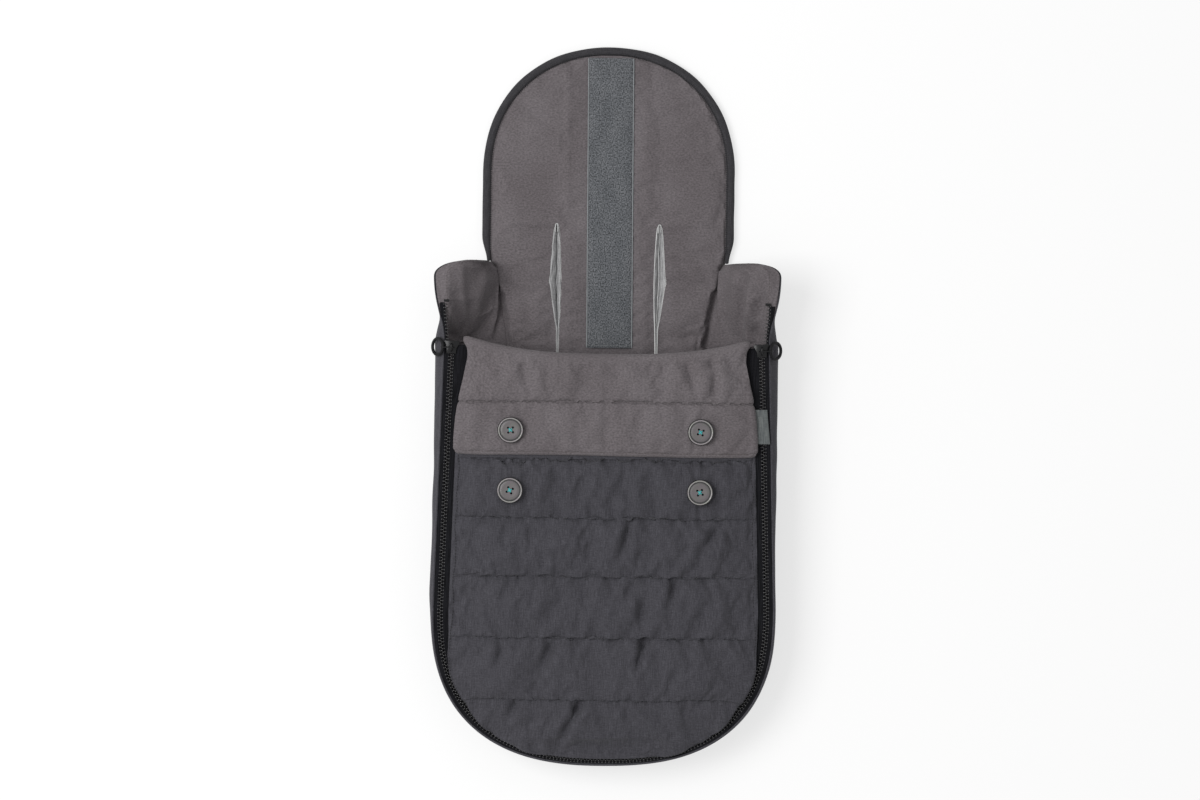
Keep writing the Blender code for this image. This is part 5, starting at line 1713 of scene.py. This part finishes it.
    def spill(self, top: Cloth, xs: np.ndarray, vs: np.ndarray) -> None:
        """Lets the padded edge hang out over the teeth round the foot."""
        inside, out = self.edge(xs, vs)
        near = inside / self.overhang_run
        at_foot = smooth((PLAN.v_centre - vs) / (70 * MM))
        push = (self.overhang * near * np.exp(1 - near) * at_foot)[..., None] * out
        rise = 2.6 * MM * (1 - np.exp(-inside / (1.6 * MM))) * at_foot
        origin = PLAN.world(0.0, 0.0, 0.0)
        top.grid += PLAN.world(push[..., 0], push[..., 1], rise) - origin

    def dip(self, x):
        """How far the fold sags towards the foot at a place across it."""
        rise = np.where(x < 0, *self.fold_rise)
        return self.fold_dip - rise * np.minimum(1.0, np.abs(x) / (148 * MM)) ** 2.8

    def end(self, x):
        """Where the cover's cloths end inside the cuff's fold."""
        return PLAN.v_fold - PLAN.cover_end - self.dip(x)

    def rows(self) -> np.ndarray:
        """Rows up the cover, closest along its quilted lines."""
        lines = self.quilt_lines()
        tip = PLAN.v_tip + 40 * MM * np.linspace(0.05, 1, 17, endpoint=False) ** 1.8
        end = PLAN.v_fold - PLAN.cover_end
        return np.concatenate([tip, banded(PLAN.v_tip + 40 * MM, end, 4.4 * MM, lines, 3 * MM)])

    def build(self) -> None:
        """Makes the quilted cloth, its lining and its stitching."""
        v = self.rows()
        turn = np.linspace(-1, 1, 79)
        share = mix(turn, np.sin(math.pi / 2 * turn), 0.4)
        shares, vs = np.meshgrid(share, v)
        xs = shares * self.half(vs)
        hem = self.quilt_lines()[-1]
        above = smooth((vs - hem) / (PLAN.v_fold - hem))
        vs = vs - above * self.dip(xs)
        height = self.top(shares, vs, 0.75)
        line_near = np.min(np.abs(vs[..., None] - self.quilt_lines()), axis=-1)
        wander = 0.8 * MM * ripple(xs / (8 * MM), vs / (80 * MM), 63) * bell(line_near, 14 * MM)
        top = Cloth(PLAN.world(xs, vs + wander * (1 - np.abs(shares) ** 6), height))
        pinned = (np.abs(shares) > self.sewn_share) | (vs >= hem - 0.1 * MM) | (line_near < 0.4 * MM)
        pinned |= vs < PLAN.v_tip + self.tip_hold
        pinned |= Buttons.reach(xs, vs - (PLAN.v_fold - Buttons.lower_from_fold)) < self.button_hold
        top.relax(pinned, self.drape)
        top = top.refined()
        xs, vs, shares = (doubled(doubled(values, 0), 1) for values in (xs, vs, shares))
        top.raise_by(self.gathers(top, xs, vs, shares))
        self.spill(top, xs, vs)
        below = PLAN.world(xs, vs, self.lining_top(shares, vs) + 0.5 * MM)
        piece = top.thick("quilted_cloth", below, 0)
        hand_over(piece, SHELL_CLOTH, "cover", ("cover_shell", "cover_wadding"))
        self.lining(v)
        self.stitch(top, doubled(share, 0), doubled(v, 0))

    def gathers(self, top: Cloth, xs: np.ndarray, vs: np.ndarray, shares: np.ndarray) -> np.ndarray:
        """The height that puckers under each seam, long creases and the seams themselves add."""
        beyond = vs[..., None] - self.quilt_lines()
        below = np.min(np.where(beyond <= 0, -beyond, 1.0), axis=-1)
        above = np.min(np.where(beyond >= 0, beyond, 1.0), axis=-1)
        reach = mix(3.5, 7.5, 0.5 + 0.5 * ripple(xs / (9 * MM), vs / (200 * MM), 57)) * MM
        fine = ripple(xs / (1.3 * MM) + vs / (9 * MM), vs / (22 * MM), 51)
        wide = ripple(xs / (3.4 * MM) + vs / (6 * MM), vs / (30 * MM), 53)
        patchy = 0.25 + 0.75 * smooth(0.5 + 0.9 * ripple(xs / (13 * MM), vs / (40 * MM), 59))
        at_hem = 1 + 0.8 * (vs > self.quilt_lines()[-2] + 30 * MM)
        small = bell(below, np.maximum(reach, 3 * MM)) * smooth(below / (1.6 * MM) + 0.3)
        large = bell(below, 9.5 * MM) * smooth(below / (4 * MM) + 0.1)
        height = -1.9 * MM * np.clip(fine, 0, None) * small * patchy
        height -= 2.9 * MM * np.clip(wide - 0.25, 0, None) * large
        height -= 1.3 * MM * np.exp(-below / (5 * MM))
        height *= at_hem
        height -= 0.5 * MM * bell(above, 1.0 * MM)
        height += pressed(top.grid[..., 0], top.grid[..., 1], self.creases)
        drift = ripple((0.86 * xs - 0.5 * vs) / (7 * MM), (0.5 * xs + 0.86 * vs) / (24 * MM), 55)
        height += 0.5 * MM * drift * smooth(np.minimum(below, above) / (9 * MM))
        shown = smooth((PLAN.v_fold - 90 * MM - vs) / (12 * MM))
        inside = self.edge(xs, vs)[0]
        return height * (1 - np.abs(shares) ** 12) * shown * smooth((inside - 2 * MM) / (9 * MM))

    def lining(self, v: np.ndarray) -> None:
        """The fleece under the cover."""
        turn = np.linspace(-1, 1, 41)
        shares, vs = np.meshgrid(turn, v[::2])
        xs = shares * (self.half(vs) - 0.5 * MM)
        above = smooth((vs - self.quilt_lines()[-1]) / (PLAN.v_fold - self.quilt_lines()[-1]))
        vs = vs - above * self.dip(xs)
        wave = 0.5 * MM * ripple(xs / (30 * MM), vs / (30 * MM), 61) * (1 - shares**8)
        under = self.lining_top(shares, vs) - self.lining_thickness + wave
        sheet = Cloth(PLAN.world(xs, vs, self.lining_top(shares, vs)))
        piece = sheet.thick("cover_fleece", PLAN.world(xs, vs, under))
        hand_over(piece, FLEECE, "cover", ("cover_lining",))

    def stitch(self, top: Cloth, share: np.ndarray, v: np.ndarray) -> None:
        """Stitches along the quilted lines and round the cover's edge."""
        up = PLAN.normal()
        lines = self.quilt_lines()
        inside = np.abs(share) < self.sewn_share
        for line in lines[:-1]:
            row = int(np.argmin(np.abs(v - line)))
            self.needlework.sew("cover", top.grid[row][inside] + up * 0.1 * MM, up)
        column = int(np.argmin(np.abs(share - 0.974)))
        rows = (v < lines[-1] + 4 * MM) & (v > PLAN.v_tip + 9 * MM)
        for edge in (column, -1 - column):
            self.needlework.sew("cover", top.grid[rows, edge] + up * 0.25 * MM, up, BLACK_THREAD)


@dataclass
class Cuff:
    """The turned-down fleece cuff: the rolled fold, the sheet, its seam and its hem."""

    cover: QuiltedCover
    needlework: Needlework
    edge_places: tuple = (0, 6, 12, 17, 23, 29, 44, 60, 80, 100, 119)
    edge_halves: tuple = (154, 152.5, 149, 148, 148.2, 149.8, 153.4, 157.6, 160.4, 162, 162.4)
    depth: float = 119 * MM
    seam: float = 63 * MM
    lift: float = 4.5 * MM
    corner: float = 8 * MM
    hem_stitch: float = 3.8 * MM
    thickness: float = 3.4 * MM
    hem_thickness: float = 0.8 * MM
    roll_thickness: float = 3.0 * MM
    button_hold: float = 12 * MM
    drape: Drape = Drape(0.022, 0.4, 1.2, 18, 3.5 * MM)
    creases: tuple = (
        (-89, 46, -80, 5, 4.2, 5),
        (-78, 42, -76, 22, 2.0, 4),
        (6, 47, 15, 24, 2.8, 6),
        (43, 49, 46, 29, 2.5, 6),
        (59, 53, 64, 24, 2.8, 6),
        (82, 57, 97, 8, 4.8, 5.4),
        (106, 61, 116, 34, 5.9, 5),
        (116, 35, 115, 5, 3.9, 5),
        (121, 49, 141, 29, 3.6, 8),
        (-112, 41, -115, 20, 2.0, 6),
        (-30, 46, -28, 25, 1.7, 7),
    )

    def half(self, below):
        """Half the cuff's width at a distance below its fold."""
        wide = np.interp(below, np.array(self.edge_places) * MM, np.array(self.edge_halves) * MM)
        q = np.clip((below - (self.depth - self.corner)) / self.corner, 0, 1)
        return wide - self.corner * (1 - np.sqrt(1 - 0.98 * q * q))

    def sheet(self) -> tuple[Cloth, np.ndarray, np.ndarray, np.ndarray]:
        """The sheet's upper face before it is draped, with its shares and distances."""
        end = self.depth - self.corner
        below = np.concatenate(
            [
                banded(PLAN.cover_end, end, 3.2 * MM, (self.seam,), 2.4 * MM),
                mix(end, self.depth, np.sin(np.linspace(0, math.pi / 2, 9)[1:])),
            ]
        )
        share = np.linspace(1, -1, 81)
        shares, belows = np.meshgrid(share, below)
        xs = shares * self.half(belows)
        sag = self.cover.dip(xs) * (1 - smooth((belows - PLAN.cover_end) / (self.seam * 0.9)))
        hem_wave = 1.6 * MM * ripple(xs / (60 * MM), xs * 0, 71)
        hem_wave *= smooth((belows - self.seam) / (40 * MM))
        seam_wave = 1.3 * MM * ripple(xs / (45 * MM), xs * 0, 73) * bell(belows - self.seam, 18 * MM)
        vs = PLAN.v_fold - belows - sag + hem_wave + seam_wave
        cad_share = xs / PLAN.cover_half(PLAN.v_fold - belows)
        edge = np.abs(cad_share)
        height = self.cover.top(np.minimum(edge, 0.95), vs, 0.9) + self.lift
        height -= 2.4 * MM * np.clip((np.abs(shares) - 0.965) / 0.035, 0, 1) ** 2
        height -= 2.2 * MM * np.clip((belows - self.depth + 3 * MM) / (3 * MM), 0, 1) ** 2
        return Cloth(PLAN.world(xs, vs, height)), shares, belows, xs

    def build(self) -> None:
        """Makes the draped sheet, the fold that joins it to the cover, and its stitching."""
        cloth, shares, belows, xs = self.sheet()
        pinned = (belows <= PLAN.cover_end + 0.1 * MM) | (np.abs(belows - self.seam) < 1.2 * MM)
        pinned |= (belows > self.depth - self.hem_stitch - 1 * MM) | (np.abs(shares) > 0.975)
        pinned |= Buttons.reach(xs, belows - Buttons.upper_from_fold) < self.button_hold
        cloth.relax(pinned, self.drape)
        cloth = cloth.refined()
        xs, shares, belows = (doubled(doubled(values, 0), 1) for values in (xs, shares, belows))
        cloth.raise_by(self.gathers(cloth, xs, shares, belows))
        thickness = np.full(cloth.grid.shape[:2], self.thickness)
        thickness[-1] = self.hem_thickness
        under = cloth.grid - PLAN.normal() * thickness[..., None]
        piece = cloth.thick("cuff_fleece", under, 0)
        hand_over(piece, FLEECE, "cuff", ("cuff_shell", "cuff_lining", "cuff_band"))
        self.fold(cloth, xs)
        row = int(np.argmin(np.abs(belows[:, 0] - self.depth + self.hem_stitch)))
        line = cloth.grid[row][4:-4] + PLAN.normal() * 0.1 * MM
        self.needlework.sew("cuff", line, PLAN.normal(), FLEECE_THREAD)

    def gathers(self, cloth: Cloth, xs, shares, belows) -> np.ndarray:
        """The height that the seam, the stitched hem, soft folds and small puckers add."""
        seam = belows - self.seam
        hem = self.depth - self.hem_stitch - belows
        pucker = ripple(xs / (2.2 * MM), belows / (18 * MM), 75)
        height = -1.9 * MM * bell(seam, 1.3 * MM) - 0.8 * MM * bell(seam, 4 * MM)
        height -= 0.3 * MM * np.clip(pucker, 0, None) * bell(seam, 5 * MM)
        gathered = 0.25 * MM * np.clip(pucker, 0, None) * bell(hem, 3 * MM)
        height -= 0.9 * MM * bell(hem, 0.9 * MM) + gathered
        side = (1 - np.abs(shares)) * self.half(belows) - 3.2 * MM
        height -= 0.7 * MM * bell(side, 0.9 * MM) * smooth((belows - 8 * MM) / (8 * MM))
        grid = cloth.grid
        free = smooth((self.seam - 3 * MM - belows) / (8 * MM)) * smooth((belows - 7 * MM) / (8 * MM))
        height += pressed(grid[..., 0], grid[..., 1], self.creases) * free
        soft = ripple(xs / (15 * MM), belows / (40 * MM), 77)
        height += 0.4 * MM * soft * smooth((belows - 7 * MM) / (9 * MM))
        return height * smooth((belows - PLAN.cover_end) / (3 * MM))

    def fold(self, cloth: Cloth, xs: np.ndarray) -> None:
        """The roll at the cover's mouth, bending between the cover and the cuff."""
        first = cloth.grid[0]
        x = xs[0]
        v = self.cover.end(x)
        share = np.clip(x / PLAN.cover_half(PLAN.v_fold), -1, 1)
        low = PLAN.world(x, v, self.cover.lining_top(share, v) - self.cover.lining_thickness)
        middle, arm = (first + low) / 2, (first - low) / 2
        radius = np.linalg.norm(arm, axis=1, keepdims=True)
        ahead = np.array([0.0, math.cos(PLAN.tilt), math.sin(PLAN.tilt)])
        thin = 1 - self.roll_thickness / radius
        outer, inner = [], []
        for angle in np.linspace(math.pi / 2, -math.pi / 2, 21):
            reach = ahead * math.cos(angle) * radius
            outer.append(middle + arm * math.sin(angle) + reach)
            inner.append(middle + (arm * math.sin(angle) + reach) * thin)
        roll = Cloth(np.array(outer)[::-1])
        piece = roll.thick("cuff_roll", np.array(inner)[::-1], 0)
        piece.data.materials.append(FLEECE.build())
        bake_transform(piece)
        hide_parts("cuff_fold")
        LOG.info("cuff_roll: blended from cover to cuff")


@dataclass
class SideTag:
    """A bare ribbon loop in the cuff's right edge."""

    width: float = 37.5 * MM
    reach: float = 15.5 * MM

    def build(self) -> None:
        """Makes the folded ribbon where the CAD solid lies."""
        low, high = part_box("side_tag")
        y = np.linspace(low.y + 1 * MM, high.y - 1 * MM, 16)
        angle = np.linspace(-math.pi / 2, math.pi / 2, 7)
        half = 0.8 * MM
        arc = np.stack([self.reach - half + half * np.cos(angle), half * np.sin(angle)], -1)
        line = np.concatenate([[(0, -half), (6 * MM, -half)], arc, [(6 * MM, half), (0, half)]])
        rows = []
        for place in y:
            below = PLAN.v_fold - PLAN.to_v(place)
            start = low.x + 0.6 * MM + (high.y - place) * 0.1
            height = PLAN.plane_height(place) + 3.4 * MM + 0.4 * MM * math.sin(below / (7 * MM))
            droop = 0.02 * (line[:, 0] / self.reach) ** 2 * self.reach
            tops = height + line[:, 1] - droop
            rows.append(np.stack([start + line[:, 0], np.full(len(line), place), tops], -1))
        ribbon = Cloth(np.array(rows))
        piece = ribbon.thick("tag_ribbon", ribbon.offset(0.35 * MM))
        hand_over(piece, RIBBON, "cuff", ("side_tag",))


@dataclass
class Buttons:
    """Four sewn-on buttons with raised rims: two through the cuff and two on the cover.

    Attributes:
        profile: the turned outline, as shares of half the diameter and of the thickness.
        spins: for each row, how far its left and right buttons are turned, in degrees.
        drops: for each row, how far its thread reaches down into the cloth.
    """

    diameter: float = 28 * MM
    thickness: float = 4.4 * MM
    hole: float = 2.5 * MM
    hole_spacing: float = 5.0 * MM
    thread: float = 0.7 * MM
    shank: float = 1.2 * MM
    profile: tuple = (
        (0.0, 0.58),
        (0.50, 0.60),
        (0.70, 0.68),
        (0.76, 0.60),
        (0.81, 0.62),
        (0.85, 0.94),
        (0.89, 1.0),
        (0.93, 0.94),
        (0.975, 0.74),
        (1.0, 0.56),
        (0.985, 0.38),
        (0.90, 0.08),
        (0.80, 0.0),
        (0.0, 0.0),
    )
    spins: tuple = (("upper", (4, -12)), ("lower", (-18, 10)))
    drops: tuple = (("upper", 11 * MM), ("lower", 6 * MM))

    spacing = 202 * MM
    upper_from_fold = 93 * MM
    lower_from_fold = 157 * MM

    @classmethod
    def reach(cls, x: np.ndarray, along: np.ndarray) -> np.ndarray:
        """How far points lie from the nearer button, given their place along the bag from its row."""
        return np.hypot(np.abs(x) - cls.spacing / 2, along)

    def blank(self) -> bpy.types.Mesh:
        """A turned button with its four holes, lying on its back at the origin."""
        half, top = self.diameter / 2, self.thickness
        mesh = bpy.data.meshes.new("button_profile")
        edges = [(i, i + 1) for i in range(len(self.profile) - 1)]
        mesh.from_pydata([(out * half, 0, up * top) for out, up in self.profile], edges, [])
        obj = link(bpy.data.objects.new("button_blank", mesh))
        turn = obj.modifiers.new("turn", "SCREW")
        turn.steps = turn.render_steps = 56
        turn.use_merge_vertices = True
        turn.merge_threshold = 0.00001
        turn.use_normal_calculate = True
        obj = baked(obj)
        cutters = []
        for x, y in ((-1, -1), (1, -1), (1, 1), (-1, 1)):
            cutter = bpy.data.meshes.new("hole")
            solid = bmesh.new()
            bmesh.ops.create_cone(
                solid,
                cap_ends=True,
                segments=20,
                radius1=self.hole / 2,
                radius2=self.hole / 2,
                depth=4 * top,
                matrix=Matrix.Translation((x * self.hole_spacing / 2, y * self.hole_spacing / 2, 0)),
            )
            solid.to_mesh(cutter)
            solid.free()
            cutters.append(link(bpy.data.objects.new("hole", cutter)))
            cut = obj.modifiers.new("hole", "BOOLEAN")
            cut.operation = "DIFFERENCE"
            cut.solver = "EXACT"
            cut.object = cutters[-1]
        obj = baked(obj)
        for cutter in cutters:
            bpy.data.objects.remove(cutter, do_unlink=True)
        mesh = obj.data
        bpy.data.objects.remove(obj, do_unlink=True)
        mesh.shade_smooth()
        mesh.set_sharp_from_angle(angle=math.radians(42))
        turned = mesh.attributes.new("turned", "FLOAT", "POINT")
        for vertex, value in zip(mesh.vertices, turned.data):
            value.value = math.hypot(vertex.co.x, vertex.co.y) / half
        return mesh

    def strands(self) -> np.ndarray:
        """Middle lines of the crossed threads over a button's holes, each as its own row."""
        reach = 0.74 * self.hole_spacing / 2
        base = 0.60 * self.thickness
        lines = []
        for turn in (1, -1):
            for shift in (-0.45, 0.45):
                s = np.linspace(-1, 1, 11)
                off = shift * self.thread
                x = s * reach - turn * off * 0.7
                y = turn * s * reach + off * 0.7
                z = base + (0.3 + 0.9 * (1 - s**4)) * self.thread - 1.6 * MM * (np.abs(s) > 0.99)
                z = z + (0.5 * self.thread if turn < 0 else 0) * (1 - s**2)
                lines.append(np.stack([x, y, z], -1))
        return np.array(lines)

    def build(self) -> None:
        """Sets a button and its threads where each CAD button is."""
        blank = self.blank()
        turn = Matrix.Rotation(PLAN.tilt, 4, "X")
        for row, spins in self.spins:
            for (word, _), spin in zip(SIDES, spins):
                node = f"{row}_button_{word}"
                low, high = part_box(node)
                centre = (low + high) / 2
                seat = centre - turn.to_3x3() @ Vector((0, 0, self.thickness / 2))
                place = Matrix.Translation(seat) @ turn @ Matrix.Rotation(math.radians(spin), 4, "Z")
                mesh = blank.copy()
                mesh.transform(place)
                obj = link(bpy.data.objects.new(f"{row}_resin_button_{word}", mesh))
                hand_over(obj, BUTTON_RESIN, "cover", (node,))
                self.sewing(row, word, place)

    def sewing(self, row: str, word: str, place: Matrix) -> None:
        """The crossed threads on top of a button and the shank under it."""
        section = oval(self.thread / 2, self.thread / 2, 6)
        meshes = [tube_piece("strand", sweep(line, UP, section)) for line in self.strands()]
        z = np.linspace(-dict(self.drops)[row] + self.shank, 0.5 * MM, 9)
        middle = np.stack([z * 0, z * 0, z], -1)
        shank = sweep(middle, np.array([0.0, 1.0, 0.0]), oval(self.shank, self.shank, 8))
        meshes.append(tube_piece("strand", shank))
        joined = bmesh.new()
        for obj in meshes:
            joined.from_mesh(obj.data)
            bpy.data.objects.remove(obj, do_unlink=True)
        mesh = bpy.data.meshes.new(f"{row}_sewing_{word}")
        joined.transform(place)
        joined.to_mesh(mesh)
        joined.free()
        mesh.shade_smooth()
        obj = link(bpy.data.objects.new(mesh.name, mesh))
        node = f"{row}_button_thread_{word}"
        hand_over(obj, TURQUOISE_THREAD, "cover", (node,))


@dataclass
class TopStops:
    """The crimped stops at the open ends of the wall's teeth."""

    def build(self) -> None:
        """Gives the CAD stops their lacquer."""
        for word, _ in SIDES:
            node = bpy.context.scene.objects["top_stop_" + word]
            node.data.materials.clear()
            node.data.materials.append(ZINC.build())


@dataclass
class Studio:
    """A white sheet to lie on, soft light from above left, and the camera straight above.

    Attributes:
        paper: the sheet's colour as the pieces get its light, and as the camera sees it.
        glow: how much brighter the camera sees the sheet, so that it is white as in the photograph.
        surround: the strength of the even light on the pieces.
        lamp_place, lamp_size, lamp_power: the broad soft light.
    """

    paper: tuple[str, str] = ("e6e6e6", "a0a0a0")
    glow: float = 0.65
    surround: float = 0.53
    lamp_place: tuple[float, float, float] = (-1.6, 0.3, 2.5)
    lamp_size: float = 1.6
    lamp_power: float = 58
    height: float = 5.0
    millimetres_a_pixel: float = 1.07
    picture: tuple[int, int] = (1200, 800)
    centre_pixel: tuple[float, float] = (606, 405)
    mid_height: float = 45 * MM
    roll: float = 0.75

    def build(self) -> None:
        """Makes the floor, the lights, the world and the camera."""
        self.floor()
        self.lights()
        self.camera()

    def seen_directly(self, tree):
        """1 for the camera's rays and those that a shiny or clear piece sends on, 0 for others."""
        rays = add_node(tree, "ShaderNodeLightPath").outputs
        share = rays["Is Camera Ray"]
        larger = {"operation": "MAXIMUM"}
        for kind in ("Is Glossy Ray", "Is Transmission Ray"):
            share = add_node(tree, "ShaderNodeMath", larger, {0: share, 1: rays[kind]}).outputs[0]
        return share

    def floor(self) -> None:
        """A matt white floor that keeps the shadow; its own brightness lights no piece."""
        mesh = bpy.data.meshes.new("floor")
        solid = bmesh.new()
        bmesh.ops.create_grid(solid, x_segments=1, y_segments=1, size=6.0)
        bmesh.ops.translate(solid, vec=(0, 0, -0.4 * MM), verts=solid.verts)
        solid.to_mesh(mesh)
        solid.free()
        material = bpy.data.materials.new("white_paper")
        material.use_nodes = True
        tree = material.node_tree
        tree.nodes.clear()
        rays = self.seen_directly(tree)
        felt, seen = (srgb(code) for code in self.paper)
        colour = add_node(tree, "ShaderNodeMix", {"data_type": "RGBA"}, {0: rays, 6: felt, 7: seen})
        paper = add_node(tree, "ShaderNodeBsdfDiffuse", None, {"Color": colour.outputs[2]})
        shown = add_node(tree, "ShaderNodeMath", {"operation": "MULTIPLY"}, {0: rays, 1: self.glow})
        inputs = {"Color": srgb("ffffff"), "Strength": shown.outputs[0]}
        glow = add_node(tree, "ShaderNodeEmission", None, inputs)
        both = add_node(tree, "ShaderNodeAddShader", None, {0: paper.outputs[0], 1: glow.outputs[0]})
        add_node(tree, "ShaderNodeOutputMaterial", None, {"Surface": both.outputs[0]})
        mesh.materials.append(material)
        link(bpy.data.objects.new("floor", mesh))

    def lights(self) -> None:
        """An even white surround and one broad soft light."""
        world = bpy.data.worlds.new("studio")
        bpy.context.scene.world = world
        world.use_nodes = True
        tree = world.node_tree
        tree.nodes.clear()
        rays = self.seen_directly(tree)
        shades = {0: rays}
        for socket, strength in ((1, self.surround), (2, 1.0)):
            inputs = {"Color": srgb("ffffff"), "Strength": strength}
            shades[socket] = add_node(tree, "ShaderNodeBackground", None, inputs).outputs[0]
        mixed = add_node(tree, "ShaderNodeMixShader", None, shades)
        add_node(tree, "ShaderNodeOutputWorld", None, {"Surface": mixed.outputs[0]})
        data = bpy.data.lights.new("key_light", "AREA")
        data.size = self.lamp_size
        data.energy = self.lamp_power
        obj = link(bpy.data.objects.new("key_light", data))
        obj.location = self.lamp_place
        obj.rotation_mode = "QUATERNION"
        obj.rotation_quaternion = (-Vector(self.lamp_place)).to_track_quat("-Z", "Y")

    def camera(self) -> None:
        """A long lens straight above, framed as the photograph is."""
        data = bpy.data.cameras.new("camera")
        width, height = self.picture
        scale = self.millimetres_a_pixel * MM
        data.sensor_width = 36
        data.lens = data.sensor_width * (self.height - self.mid_height) / (width * scale)
        data.clip_end = 50
        obj = link(bpy.data.objects.new("camera", data))
        x = (width / 2 - self.centre_pixel[0]) * scale
        y = (self.centre_pixel[1] - height / 2) * scale
        obj.location = (x, y, self.height)
        obj.rotation_euler = (0, 0, math.radians(self.roll))
        bpy.context.scene.camera = obj


def main() -> None:
    """Loads the frame, dresses every piece and sets the studio."""
    logging.basicConfig(level=logging.INFO, format="%(message)s")
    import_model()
    bpy.context.scene.view_settings.view_transform = "Standard"
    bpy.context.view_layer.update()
    needlework = Needlework()
    panel = BackPanel(needlework)
    panel.build()
    HeadBinding(needlework).build()
    LoopStrip(needlework).build()
    HarnessSlots(panel).build()
    Walls(needlework).build()
    ZipChain(needlework).build()
    cover = QuiltedCover(needlework)
    cover.build()
    Cuff(cover, needlework).build()
    SideTag().build()
    Buttons().build()
    for word, side in SIDES:
        Slider(word, side).build()
    TopStops().build()
    needlework.build()
    Studio().build()


if __name__ == "__main__":
    main()
